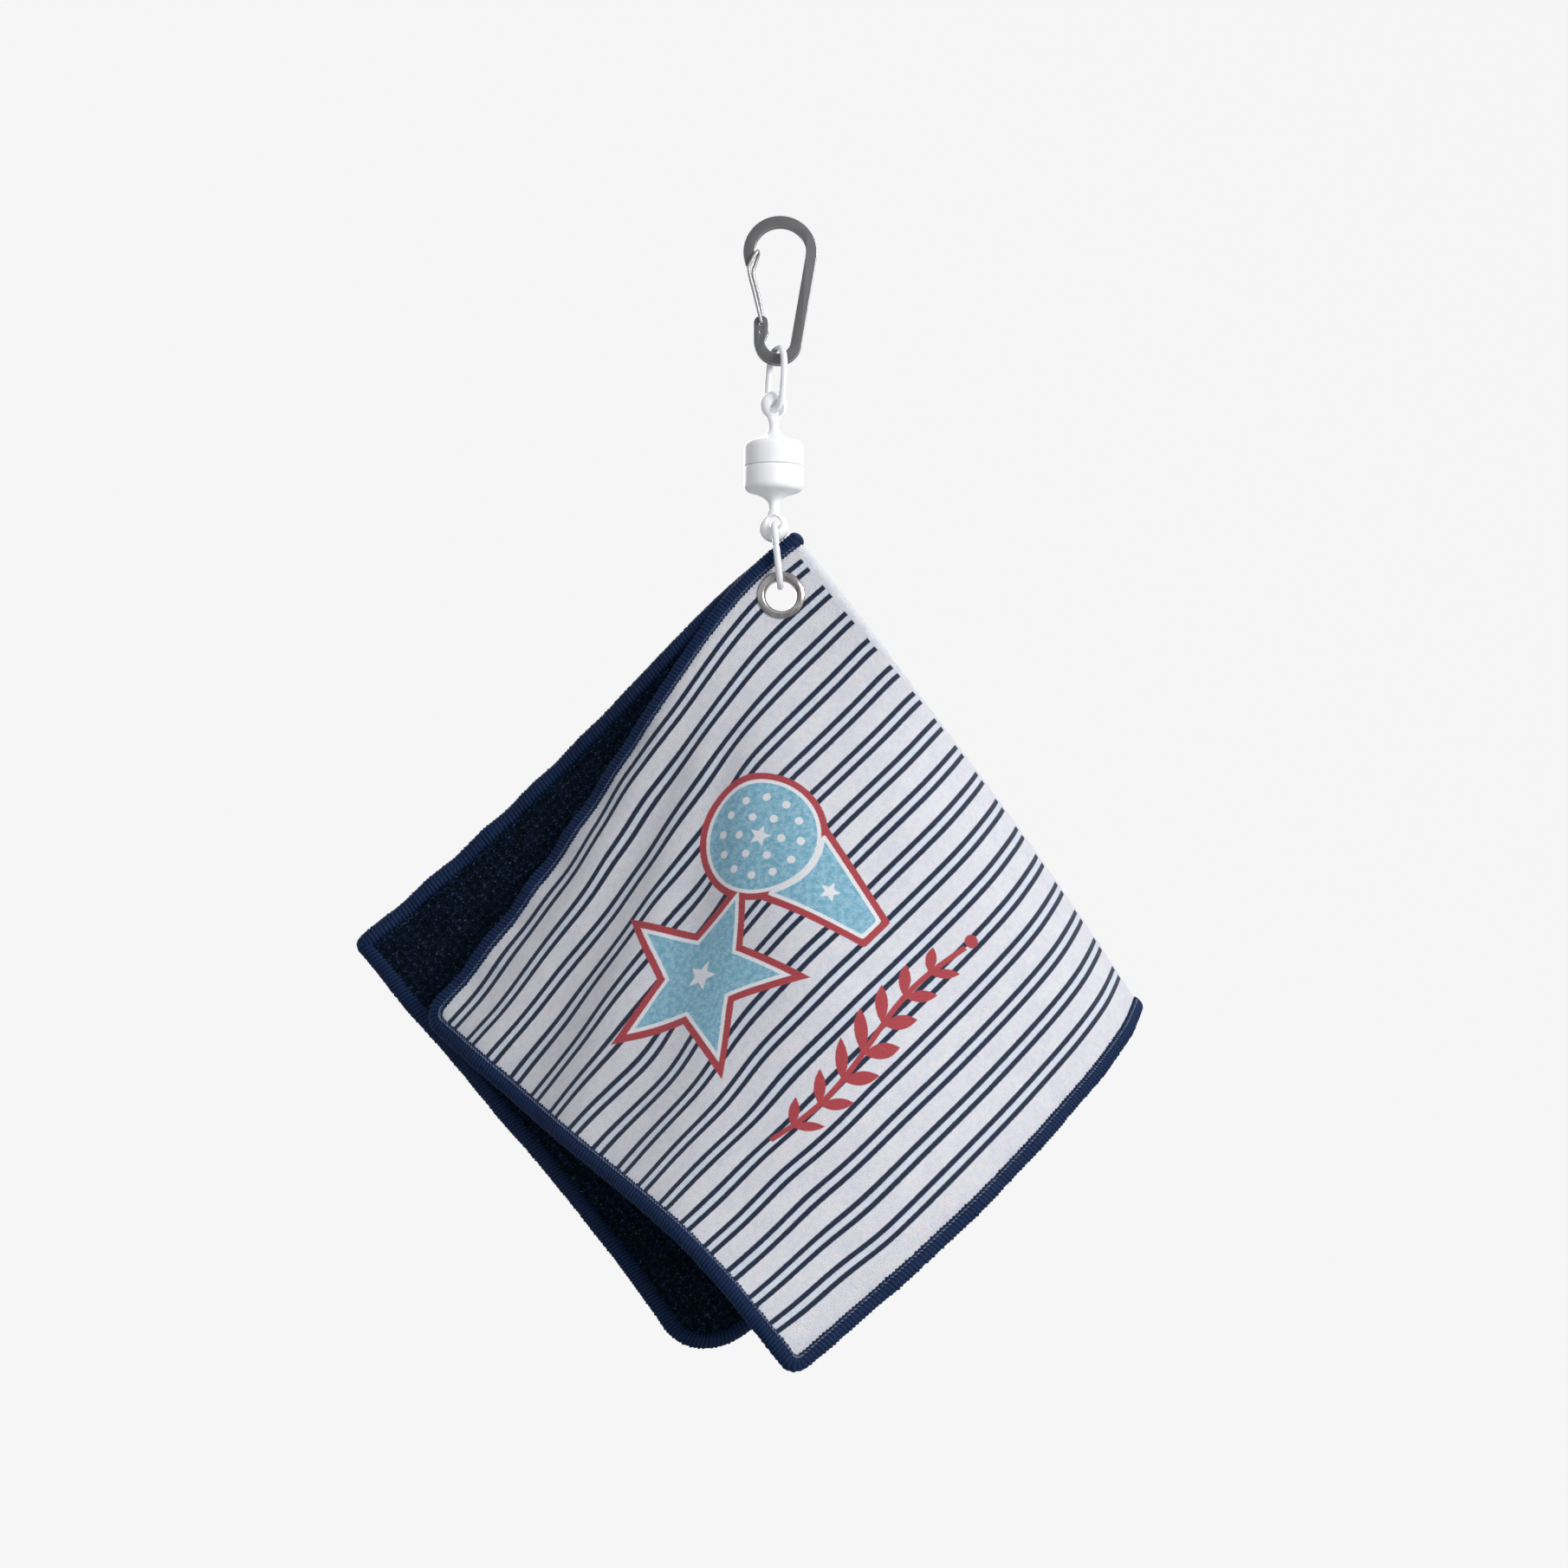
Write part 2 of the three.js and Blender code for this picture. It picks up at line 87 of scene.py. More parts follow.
HEM_WIDTH = 5.6
HEM_HEIGHT = 4.0
HEM_INSET = 3.4  # the plies stop this far inside the hem's outer edge
FRONT_CORNERS = (8.0, 6.5)  # outer radius at the top edge's and at the bottom edge's corner
REAR_CORNERS = (3.6, 20.0)
THREAD_PITCH = 1.3
THREAD_SLANT = 1.6  # of a pitch, from one side of the bead round to the other
WAFFLE_LOW = 0.2  # heights over the middle between the two layers
WAFFLE_HIGH = 0.95
WAFFLE_CELL = 3.1
PRINT_LOW = 1.1
PRINT_HIGH = 1.95
HEM_MIDDLE = 1.35

STRIPE_PERIOD = 11.5
STRIPE_OFFSET = 1.8  # from the middle of a pair to each of its stripes
STRIPE_HALF = 0.84
STRIPE_START = 3.6  # from the fold
STRIPES_FROM = 7.0  # down from the top edge
STRIPES_TO = 189.5
PRINT_EDGE = 0.16  # half of the soft edge of whatever is printed
RED_BORDER = 3.6
WHITE_BORDER = 1.3

BAR_WIDTH = 3.8
BAR_DEPTH = 3.6
TOP_BOW = ((0.0, -8.6), 12.4)
LOW_BOW = ((-0.77, -38.9), 8.1)
NOSE_ANGLE = 203.0
NOSE_TIP = (-10.0, -13.2)
KNUCKLE = ((-6.38, -32.8), 2.48)
KNUCKLE_LOW = -35.9
GATE_WIRE = 0.6
GATE_SIDE = BAR_DEPTH / 2 + GATE_WIRE + 0.35
GATE_REAR = (0.1, 0.5, 1.1, 1.4, 1.4, 0.9, 0.4, 0.2)  # how far the rear leg lies beside the front one
GATE_DROP = (0.0, 0.1, 0.4, 0.3, 0.0, 0.0, 0.6, 1.2)

LINK_WIRE = 1.15
LINK_HALF_WIDTH = 5.7
LINK_HALF_LENGTH = 10.6
UPPER_LINK = {"top": -40.95, "top_x": -0.8, "low_x": -1.9, "turn": 63.0, "joined": 261.0}
LOWER_LINK = {"top": -100.9, "top_x": -2.1, "low_x": 0.0, "turn": 90.0, "joined": 9.0}

COUPLING_X = -2.1
SEAM = -81.5
BARREL = 10.0
BARREL_HEIGHT = 8.7
SHOULDER = 2.4
NECK = 1.65
KNOB = 4.8
KNOB_REACH = 20.9
KNOB_DEPTH = 0.62
EYE_REACH = 18.9
EYE = 2.0
EYE_MOUTH = 3.8
POCKET = 8.1
POCKET_DEPTH = 6.4
MAGNET = 7.8
MAGNET_HEIGHT = 4.35

GROMMET = (0.3, -125.3)
BORE = 5.2
GROMMET_BARREL = 5.8
FLANGE = 8.0


# ---------- meshes ----------

def add(name, data):
    item = bpy.data.objects.new(name, data)
    bpy.context.scene.collection.objects.link(item)
    return item


def mesh_object(name, points, faces, flat=None):
    """A mesh from points in millimetres. flat gives each point's place in the cloth or along a thread."""
    mesh = bpy.data.meshes.new(name)
    mesh.from_pydata((np.asarray(points, float).reshape(-1, 3) * MM).tolist(), [], list(faces))
    mesh.polygons.foreach_set("use_smooth", np.ones(len(mesh.polygons), bool))
    if flat is not None:
        corners = np.empty(len(mesh.loops), int)
        mesh.loops.foreach_get("vertex_index", corners)
        layer = mesh.uv_layers.new(name="flat")
        layer.data.foreach_set("uv", np.asarray(flat, float).reshape(-1, 2)[corners].ravel())
    return add(name, mesh)


def quads(rows, columns, close_rows=False, close_columns=False):
    """Faces of a grid of rows x columns points."""
    i = np.arange(rows if close_rows else rows - 1)[:, None]
    j = np.arange(columns if close_columns else columns - 1)[None, :]
    down, right = (i + 1) % rows, (j + 1) % columns
    corners = [i * columns + j, i * columns + right, down * columns + right, down * columns + j]
    return stacked(*corners).reshape(-1, 4)


def full_turn(count):
    return np.linspace(0, 2 * PI, count, endpoint=False)


def stacked(*parts):
    return np.stack(np.broadcast_arrays(*parts), -1)


def turned(points, axis, degrees):
    return np.asarray(points) @ np.array(Matrix.Rotation(math.radians(degrees), 3, axis)).T


def revolve(profile, sides=96, closed=False):
    """Rings round Z through a list of (radius, height); closed joins the last ring to the first."""
    around = full_turn(sides)
    rings = [stacked(radius * np.cos(around), radius * np.sin(around), height) for radius, height in profile]
    return np.array(rings), quads(len(profile), sides, close_rows=closed, close_columns=True)


def smooth_route(points, steps):
    """A smooth route through given points."""
    points = np.asarray(points, float)
    padded = np.vstack([2 * points[0] - points[1], points, 2 * points[-1] - points[-2]])
    route = []
    for k in range(len(points) - 1):
        a, b, c, d = padded[k:k + 4]
        for u in np.linspace(0, 1, steps, endpoint=False):
            route.append(0.5 * (2 * b + (c - a) * u + (2 * a - 5 * b + 4 * c - d) * u**2
                                + (3 * b - a - 3 * c + d) * u**3))
    return np.array(route + [points[-1]])


def sweep(route, radius, sides=20, closed=False):
    """Rings of a round wire along a route; radius may be one number or one for each point."""
    ahead, behind = np.roll(route, -1, 0), np.roll(route, 1, 0)
    if not closed:
        ahead[-1], behind[0] = route[-1], route[0]
    along = ahead - behind
    along /= np.linalg.norm(along, axis=1)[:, None]
    up = np.array([0.13, 1.0, 0.07])
    side = np.cross(along, up)
    side /= np.linalg.norm(side, axis=1)[:, None]
    over = np.cross(side, along)
    around = full_turn(sides)[None, :, None]
    reach = np.broadcast_to(radius, len(route))[:, None, None]
    rings = route[:, None] + reach * (np.cos(around) * side[:, None] + np.sin(around) * over[:, None])
    return rings, quads(len(route), sides, close_rows=closed, close_columns=True)


def apply_modifiers(piece):
    """Turns a piece's modifiers into its own mesh."""
    seen = piece.evaluated_get(bpy.context.evaluated_depsgraph_get())
    mesh = bpy.data.meshes.new_from_object(seen)
    piece.modifiers.clear()
    piece.data = mesh
    return piece


def cut(piece, tool):
    """Cuts tool out of piece and removes tool."""
    difference = piece.modifiers.new("cut", "BOOLEAN")
    difference.object = tool
    difference.solver = "EXACT"
    apply_modifiers(piece)
    bpy.data.objects.remove(tool)
    return piece


@contextmanager
def editing(piece):
    """The piece's mesh, open for editing, and written back at the end."""
    solid = bmesh.new()
    solid.from_mesh(piece.data)
    yield solid
    solid.to_mesh(piece.data)
    solid.free()


def smooth_by_angle(piece, degrees):
    """Soft shading with crisp edges wherever the surface turns by more than the angle."""
    limit = math.radians(degrees)
    with editing(piece) as solid:
        for face in solid.faces:
            face.smooth = True
        for edge in solid.edges:
            edge.smooth = len(edge.link_faces) != 2 or edge.calc_face_angle() < limit
    return piece


def face_out(piece, fill=False):
    """Turns all faces outward, and fills open ends if asked."""
    with editing(piece) as solid:
        if fill:
            bmesh.ops.holes_fill(solid, edges=[edge for edge in solid.edges if edge.is_boundary])
        bmesh.ops.recalc_face_normals(solid, faces=solid.faces)
    return piece


def close_ends(piece):
    return face_out(piece, fill=True)


def settle(piece, body, node, slot, *materials):
    """Puts a finished piece on its body, in place of its CAD node, with its materials."""
    for material in materials:
        piece.data.materials.append(material)
    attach(piece, body)
    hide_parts(node)


# ---------- material nodes ----------

class Nodes:
    """Short ways to add nodes to a tree."""

    def __init__(self, tree):
        self.tree = tree

    def put(self, socket, value):
        if isinstance(value, bpy.types.NodeSocket):
            self.tree.links.new(value, socket)
        else:
            socket.default_value = value

    def node(self, kind, inputs=(), **settings):
        made = self.tree.nodes.new(kind)
        for key, value in settings.items():
            setattr(made, key, value)
        for key, value in dict(inputs).items():
            self.put(made.inputs[key], value)
        return made

    def calc(self, operation, *values):
        return self.node("ShaderNodeMath", enumerate(values), operation=operation).outputs[0]

    def less(self, value, amount):
        return self.calc("SUBTRACT", value, amount)

    def times(self, value, factor):
        return self.calc("MULTIPLY", value, factor)

    def over(self, value, divisor):
        return self.calc("DIVIDE", value, divisor)

    def size(self, value):
        return self.calc("ABSOLUTE", value)

    def total(self, first, *others):
        for other in others:
            first = self.calc("ADD", first, other)
        return first


class Finish(Nodes):
    """A material and its textures; the numbers in fixed are set on the shader's own sockets."""

    def __init__(self, name, **fixed):
        self.material = bpy.data.materials.new(name)
        self.material.use_nodes = True
        super().__init__(self.material.node_tree)
        self.shader = self.tree.nodes["Principled BSDF"]
        for socket, value in fixed.items():
            self.shader.inputs[socket.replace("_", " ")].default_value = value

    def fade(self, value, start, end, to_low=0.0, to_high=1.0):
        """to_low before start, to_high after end, and smooth between them."""
        inputs = {"Value": value, "From Min": start, "From Max": end, "To Min": to_low, "To Max": to_high}
        return self.node("ShaderNodeMapRange", inputs, interpolation_type="SMOOTHSTEP").outputs[0]

    def mix(self, share, low, high):
        return self.node("ShaderNodeMix", {0: share, 6: low, 7: high}, data_type="RGBA").outputs[2]

    def noise(self, scale, detail=3.0, at=None, roughness=0.55, stretch=None):
        place = at or self.node("ShaderNodeTexCoord").outputs["Object"]
        if stretch:
            place = self.node("ShaderNodeMapping", {"Vector": place, "Scale": stretch}).outputs[0]
        inputs = {"Vector": place, "Scale": scale, "Detail": detail, "Roughness": roughness}
        return self.node("ShaderNodeTexNoise", inputs).outputs[0]

    def flat(self):
        """The flat cloth's own coordinates, in millimetres from the fold and from the top edge."""
        place = self.node("ShaderNodeUVMap", uv_map="flat").outputs[0]
        scaled = self.node("ShaderNodeVectorMath", {0: place, 1: (SIDE, SIDE, SIDE)}, operation="MULTIPLY")
        parts = self.node("ShaderNodeSeparateXYZ", {0: scaled.outputs[0]})
        return scaled.outputs[0], parts.outputs[0], parts.outputs[1]

    def bump(self, height, distance, strength=1.0):
        inputs = {"Height": height, "Distance": distance * MM, "Strength": strength}
        self.put(self.shader.inputs["Normal"], self.node("ShaderNodeBump", inputs).outputs[0])

    def colour(self, value):
        self.put(self.shader.inputs["Base Color"], value)

    def rough(self, value):
        self.put(self.shader.inputs["Roughness"], value)


def rgb(red, green, blue):
    return (red, green, blue, 1.0)


# ---------- printed velour ----------

MOTIF = (108.5, 77.0)  # middle of the printed emblem: from the fold, and from the top edge
SPRIG = (-4.0, -60.0)  # middle of the red sprig, from the emblem's own


def circle_at(look, x, y, centre, radius):
    dx = look.less(x, centre[0])
    dy = look.less(y, centre[1])
    away = look.calc("SQRT", look.total(look.times(dx, dx), look.times(dy, dy)))
    return look.less(away, radius)


def polygon_at(look, x, y, corners):
    """Rough distance to a convex polygon whose corners go round anticlockwise: negative inside."""
    far, soft = None, 1.5
    for (x0, y0), (x1, y1) in zip(corners, corners[1:] + corners[:1]):
        length = math.hypot(x1 - x0, y1 - y0)
        nx, ny = (y1 - y0) / length, (x0 - x1) / length
        across = look.total(look.times(x, nx), look.times(y, ny), -nx * x0 - ny * y0)
        far = across if far is None else look.calc("SMOOTH_MAX", far, across, soft)
    return far


def star_at(look, x, y, centre, radius):
    """Distance to a star with five points: negative inside."""
    fifth = 2 * PI / 5
    inner = radius * 0.45
    inner_x, inner_y = inner * math.cos(fifth / 2), inner * math.sin(fifth / 2)
    dx = look.less(x, centre[0])
    dy = look.less(y, centre[1])
    away = circle_at(look, x, y, centre, 0.0)
    turn = look.over(look.calc("ARCTAN2", dx, dy), fifth)
    part = look.less(turn, look.calc("ROUND", turn))
    angle = look.times(look.size(part), fifth)
    along = look.times(look.times(look.calc("COSINE", angle), away), inner_y)
    aside = look.times(look.times(look.calc("SINE", angle), away), radius - inner_x)
    size = math.hypot(inner_y, radius - inner_x)
    return look.over(look.total(along, aside, -radius * inner_y), size)


def nearest(look, *distances):
    low = distances[0]
    for other in distances[1:]:
        low = look.calc("MINIMUM", low, other)
    return low


def emblem(look, x, y):
    """A big star, and a ball on a tee: distance to the shapes, and to their white marks."""
    ball_middle, ball_radius, space = (23, 13), 18.5, 2.4
    star_middle, star_radius = (-24, -3), 27.0
    tee_middle = (23, -17)
    tee = [(19.5, -34), (26.5, -34), (35, -4), (11, -4)]
    ball = circle_at(look, x, y, ball_middle, ball_radius)
    shape = nearest(
        look,
        star_at(look, x, y, star_middle, star_radius),
        look.calc("MAXIMUM", polygon_at(look, x, y, tee), look.less(space, ball)),
        ball,
    )
    dimples = []
    for row, count in ((7.2, 6), (13.5, 12)):
        for k in range(count):
            turn = 2 * PI * k / count
            place = (ball_middle[0] + row * math.cos(turn), ball_middle[1] + row * math.sin(turn))
            dimples.append(circle_at(look, x, y, place, 1.35))
    stars = [
        star_at(look, x, y, star_middle, 5.4),
        star_at(look, x, y, ball_middle, 3.8),
        star_at(look, x, y, tee_middle, 3.6),
    ]
    return shape, nearest(look, *dimples, *stars)


def leafy_sprig(look, x, y):
    """A bowed stem with a pair of leaves at every step and a berry at its end."""
    reach, bow, step, bare = 45.0, 2.6, 11.25, 5.5
    leaf_turn, leaf_half, leaf_thin, leaf_away = math.radians(40), 6.2, 2.2, 4.3
    inside = look.less(look.size(x), reach)
    turn = look.times(x, PI / reach)
    away = look.less(y, look.times(look.calc("SINE", turn), bow))
    aside = look.size(away)
    stem = look.calc("MAXIMUM", look.less(aside, 0.9), inside)
    taper = look.less(1.1, look.times(look.size(x), 0.45 / reach))
    cell = look.calc("WRAP", x, step / 2, -step / 2)
    dx = look.over(cell, taper)
    dy = look.less(look.over(aside, taper), leaf_away)
    cosine, sine = math.cos(leaf_turn), math.sin(leaf_turn)
    along = look.total(look.times(dx, cosine), look.times(dy, sine))
    over = look.less(look.times(dy, cosine), look.times(dx, sine))
    slim = look.less(1.0, look.calc("POWER", look.over(along, leaf_half), 2.0))
    leaf = look.less(look.size(over), look.times(slim, leaf_thin))
    leaves = look.calc("MAXIMUM", leaf, look.total(inside, bare))
    berry = circle_at(look, x, y, (reach + 3.0, 0.0), 2.3)
    return nearest(look, stem, leaves, berry)


def printed_velour():
    """White pile with pairs of navy stripes, the emblem and the sprig, all a little bled and worn."""
    look = Finish("printed_velour", Sheen_Weight=0.15, Sheen_Roughness=0.5, Specular_IOR_Level=0.15)
    place, across, along = look.flat()
    pile = look.noise(2.2, 3.0, place)
    fibre = look.noise(6.0, 2.0, place, 0.7)
    tuft = look.noise(0.55, 4.0, place, 0.7)
    cloud = look.noise(0.11, 4.0, place, 0.6)
    elsewhere = look.node("ShaderNodeMapping", {"Vector": place, "Location": (60, 9, 4)}).outputs[0]
    warmth = look.noise(0.3, 3.0, elsewhere)

    def inked(distance, reach=0.0):
        return look.fade(distance, reach - PRINT_EDGE, reach + PRINT_EDGE, 1.0, 0.0)

    aloft = look.less(look.size(across), look.times(along, 0.45))
    loose = look.fade(aloft, 15.0, 110.0)
    sway = look.times(look.less(look.noise(0.017, 1.0, place), 0.5), 9.0)
    bleed = look.times(look.less(pile, 0.5), 0.6)
    shift = look.total(bleed, look.times(sway, loose))
    down = look.total(along, shift)
    turns = look.over(down, STRIPE_PERIOD)
    part = look.less(turns, look.calc("ROUND", turns))
    from_pair = look.size(look.times(part, STRIPE_PERIOD))
    from_stripe = look.size(look.less(from_pair, STRIPE_OFFSET))
    from_fold = look.total(look.size(across), bleed)
    clear = look.fade(from_fold, STRIPE_START - 0.15, STRIPE_START + 0.15)
    below_top = look.fade(along, STRIPES_FROM, STRIPES_FROM + 0.5)
    striped = look.times(below_top, look.fade(along, STRIPES_TO, STRIPES_TO + 0.5, 1.0, 0.0))
    stripe = look.times(look.times(inked(from_stripe, STRIPE_HALF), clear), striped)
    between = look.times(look.fade(from_pair, 1.0, 1.6, 0.6, 0.0), striped)

    white = look.mix(look.fade(cloud, 0.35, 0.65), rgb(0.78, 0.8, 0.86), rgb(0.87, 0.88, 0.9))
    white = look.mix(look.fade(warmth, 0.4, 0.62, 0.0, 0.5), white, rgb(0.89, 0.83, 0.87))
    white = look.mix(between, white, rgb(0.71, 0.8, 0.92))
    white = look.mix(look.fade(tuft, 0.42, 0.66, 0.0, 0.3), white, rgb(0.58, 0.6, 0.68))
    white = look.mix(look.fade(fibre, 0.35, 0.7, 0.0, 0.42), white, rgb(0.54, 0.55, 0.62))
    navy = look.mix(look.times(fibre, tuft), rgb(0.004, 0.009, 0.029), rgb(0.045, 0.07, 0.145))
    ink = look.mix(stripe, white, navy)

    x = look.total(look.less(MOTIF[0], across), bleed)
    y = look.less(MOTIF[1], down)
    shape, marks = emblem(look, x, y)
    paper = rgb(0.87, 0.88, 0.91)
    sky = look.mix(look.fade(tuft, 0.34, 0.64), rgb(0.40, 0.66, 0.78), rgb(0.17, 0.42, 0.57))
    sky = look.mix(look.fade(fibre, 0.35, 0.7, 0.0, 0.5), sky, rgb(0.24, 0.5, 0.64))
    red = look.mix(look.fade(fibre, 0.3, 0.7), rgb(0.36, 0.035, 0.05), rgb(0.53, 0.09, 0.1))
    sky = look.mix(inked(marks), sky, paper)
    ink = look.mix(inked(shape, RED_BORDER), ink, red)
    ink = look.mix(inked(shape, WHITE_BORDER), ink, paper)
    ink = look.mix(inked(shape), ink, sky)
    sprig = leafy_sprig(look, look.less(x, SPRIG[0]), look.less(y, SPRIG[1]))
    look.colour(look.mix(inked(sprig), ink, red))

    look.rough(look.fade(pile, 0.3, 0.7, 0.84, 0.98))
    look.bump(look.total(pile, look.times(fibre, 0.6), tuft, cloud), 0.7, 0.8)
    return look.material


# ---------- waffle knit and thread ----------

def waffle_knit():
    """Deep navy looped yarn: painted light on the ribs and loop tops, painted shade in the pits between them,
    and painted glints on the ribs.
    """
    look = Finish(
        "waffle_knit", Sheen_Weight=0.03, Sheen_Roughness=0.4, Specular_IOR_Level=0.06,
        Sheen_Tint=rgb(0.35, 0.45, 0.8))
    place, across, along = look.flat()
    ridges = [look.calc("COSINE", look.times(value, 2 * PI / WAFFLE_CELL)) for value in (across, along)]
    ridge = look.fade(look.calc("MAXIMUM", *ridges), -0.6, 1.0)
    loops = look.node("ShaderNodeTexVoronoi", {"Vector": place, "Scale": 1.35, "Randomness": 1.0})
    tuft = look.fade(loops.outputs[0], 0.0, 0.62, 1.0, 0.0)
    fibre = look.noise(4.2, 3.0, place, 0.75)
    # painted glints: pale flecks on the loop tops
    painted_rib_glint = look.times(look.fade(look.noise(0.75, 3.0, place, 0.7), 0.5, 0.66), tuft)
    # painted light: lighter on the ribs and in the middles of the loops, darker towards the pits
    painted_rib_light = look.times(look.total(look.times(ridge, 0.75), 0.25), tuft)
    patch = look.fade(look.noise(0.22, 3.0, place), 0.35, 0.65)
    # the darkest navy is painted shade in the pits between the ribs, with random patches
    deep = look.mix(patch, rgb(0.0005, 0.0025, 0.006), rgb(0.0015, 0.005, 0.014))
    navy = look.mix(painted_rib_light, deep, look.mix(patch, rgb(0.005, 0.018, 0.042), rgb(0.012, 0.038, 0.09)))
    # painted glints, kept to the rib tops
    navy = look.mix(look.times(painted_rib_glint, ridge), navy, rgb(0.1, 0.14, 0.22))
    look.colour(look.mix(look.fade(fibre, 0.5, 0.8, 0.0, 0.4), navy, rgb(0.025, 0.042, 0.085)))
    look.rough(look.fade(fibre, 0.3, 0.7, 0.78, 0.96))
    look.bump(look.total(tuft, look.times(fibre, 0.6)), 0.45, 0.8)
    return look.material


def overlock_thread(name, dark, light, painted_glint_amount):
    """Threads wrapped side by side: U runs along the hem and V round it. Each wrap has painted light on its
    crest and painted shade in its grooves, with painted glints on the crests.
    """
    look = Finish(
        name, Sheen_Weight=0.04, Sheen_Roughness=0.35, Specular_IOR_Level=0.16, Sheen_Tint=rgb(0.3, 0.5, 1.0))
    place, length, around = look.flat()
    lie = look.total(look.over(length, THREAD_PITCH), look.times(around, THREAD_SLANT / SIDE))
    crest = look.size(look.calc("SINE", look.times(lie, PI)))
    strand = look.calc("SINE", look.total(
        look.times(lie, 2 * PI * 3), look.times(around, 14 * PI / SIDE)))
    fibre = look.noise(2.2, 3.0, place, 0.7, (1.0, 0.12, 1.0))
    patch = look.noise(0.16, 3.0, place)
    # painted light: lighter on each wrap's crest and darker in the grooves, mixed with random fibre and patch
    # tone
    tone = look.total(
        look.times(crest, 0.5), look.times(strand, 0.12),
        look.times(fibre, 0.5), look.times(patch, 0.5), -0.45)
    navy = look.mix(look.fade(tone, 0.0, 1.0), dark, light)
    # painted glints on the crests
    glint = look.times(look.fade(fibre, 0.6, 0.78, 0.0, painted_glint_amount), crest)
    look.colour(look.mix(glint, navy, rgb(0.3, 0.34, 0.45)))
    look.rough(look.fade(fibre, 0.3, 0.7, 0.42, 0.68))
    look.bump(look.total(look.times(strand, 0.5), fibre), 0.16, 0.7)
    return look.material


# ---------- hard materials ----------

def satin_metal(name, colour, darker, roughness, grain, stretch=(1.0, 1.0, 1.0), metallic=1.0, dent=0.03):
    """Metal with a fine grain, slow patches of tone and tiny scratches."""
    look = Finish(name, Metallic=metallic)
    fine = look.noise(grain, 4.0, None, 0.6, stretch)
    patch = look.noise(160.0, 3.0)
    scratch = look.fade(look.noise(700.0, 5.0, None, 0.7, (0.08, 1.0, 1.0)), 0.62, 0.7)
    tone = look.total(look.times(fine, 0.6), look.times(patch, 0.4))
    look.colour(look.mix(tone, darker, colour))
    spread = look.fade(tone, 0.3, 0.7, roughness - 0.06, roughness + 0.08)
    look.rough(look.less(spread, look.times(scratch, 0.1)))
    look.bump(look.less(fine, look.times(scratch, 0.5)), dent, 0.5)
    return look.material


def moulded_white(name, colour, roughness, coat):
    """Satin white plastic: slight mottling, faint flow marks and handling marks."""
    look = Finish(name, Coat_Weight=coat, Coat_Roughness=0.25, IOR=1.49, Specular_IOR_Level=0.5)
    mottle = look.noise(90.0, 4.0)
    fine = look.noise(1500.0, 3.0)
    flow = look.noise(220.0, 2.0, None, 0.5, (1.0, 1.0, 0.15))
    dim = tuple(0.9 * part for part in colour[:3]) + (1.0,)
    look.colour(look.mix(look.fade(look.total(mottle, flow), 0.7, 1.3), dim, colour))
    look.rough(look.fade(mottle, 0.3, 0.7, roughness - 0.06, roughness + 0.08))
    look.bump(look.total(fine, flow), 0.02, 0.5)
    return look.material


def turned_metal(name, colour, darker, roughness):
    """Plated metal with fine rings round its own middle, as a rolled or polished face has."""
    look = Finish(name, Metallic=1.0)
    _, around, outward = look.flat()
    place = look.node("ShaderNodeCombineXYZ", {0: look.times(around, 0.02), 1: outward})
    rings = look.noise(1.6, 3.0, place.outputs[0], 0.7)
    patch = look.noise(260.0, 3.0)
    tone = look.total(look.times(rings, 0.5), look.times(patch, 0.5))
    look.colour(look.mix(look.fade(tone, 0.35, 0.65), darker, colour))
    look.rough(look.fade(rings, 0.3, 0.7, roughness - 0.05, roughness + 0.1))
    look.bump(rings, 0.004, 0.3)
    return look.material


velour = printed_velour()
waffle = waffle_knit()
thread = overlock_thread("overlock_thread", rgb(0.001, 0.005, 0.02), rgb(0.005, 0.036, 0.135), 0.3)
chain_thread = overlock_thread("chain_thread", rgb(0.01, 0.022, 0.07), rgb(0.32, 0.38, 0.52), 1.0)
anodised = satin_metal(
    "grey_anodised", rgb(0.17, 0.17, 0.173), rgb(0.12, 0.12, 0.122), 0.5, 2600.0, metallic=0.7)
# brighter metal for the rounded edges: a painted highlight along the carabiner's rims
painted_edge_highlight = satin_metal("painted_highlight_bevel", rgb(0.6, 0.6, 0.61), rgb(0.4, 0.4, 0.41), 0.3, 1800.0)
steel = satin_metal(
    "drawn_steel", rgb(0.48, 0.47, 0.48), rgb(0.4, 0.39, 0.4), 0.42, 700.0, (1.0, 1.0, 0.06), dent=0.002)
plastic = moulded_white("satin_white_plastic", rgb(0.93, 0.93, 0.94), 0.4, 0.1)
coated = moulded_white("coated_wire", rgb(0.84, 0.84, 0.86), 0.3, 0.3)
nickel = turned_metal("rolled_nickel", rgb(0.5, 0.48, 0.47), rgb(0.24, 0.22, 0.21), 0.24)
magnet_plate = turned_metal("plated_magnet", rgb(0.66, 0.67, 0.68), rgb(0.5, 0.5, 0.52), 0.2)


# ---------- carabiner ----------

def arc(circle, start, end, inset=0.0, steps=40):
    """Points on a circle ((x, z), radius), or that far inside it."""
    (x, z), radius = circle
    angles = np.radians(np.linspace(start, end, steps))
    reach = radius - inset
    return [(x + reach * math.cos(a), z + reach * math.sin(a)) for a in angles]


def drill(x, z, radius, y0, y1):
    """A round tool along Y."""
    rings, faces = revolve([(radius, y0), (radius, y1)], 32)
    place = turned(rings, "X", 90) * (1, -1, 1) + (x, 0, z)
    return close_ends(mesh_object("tool", place, faces))


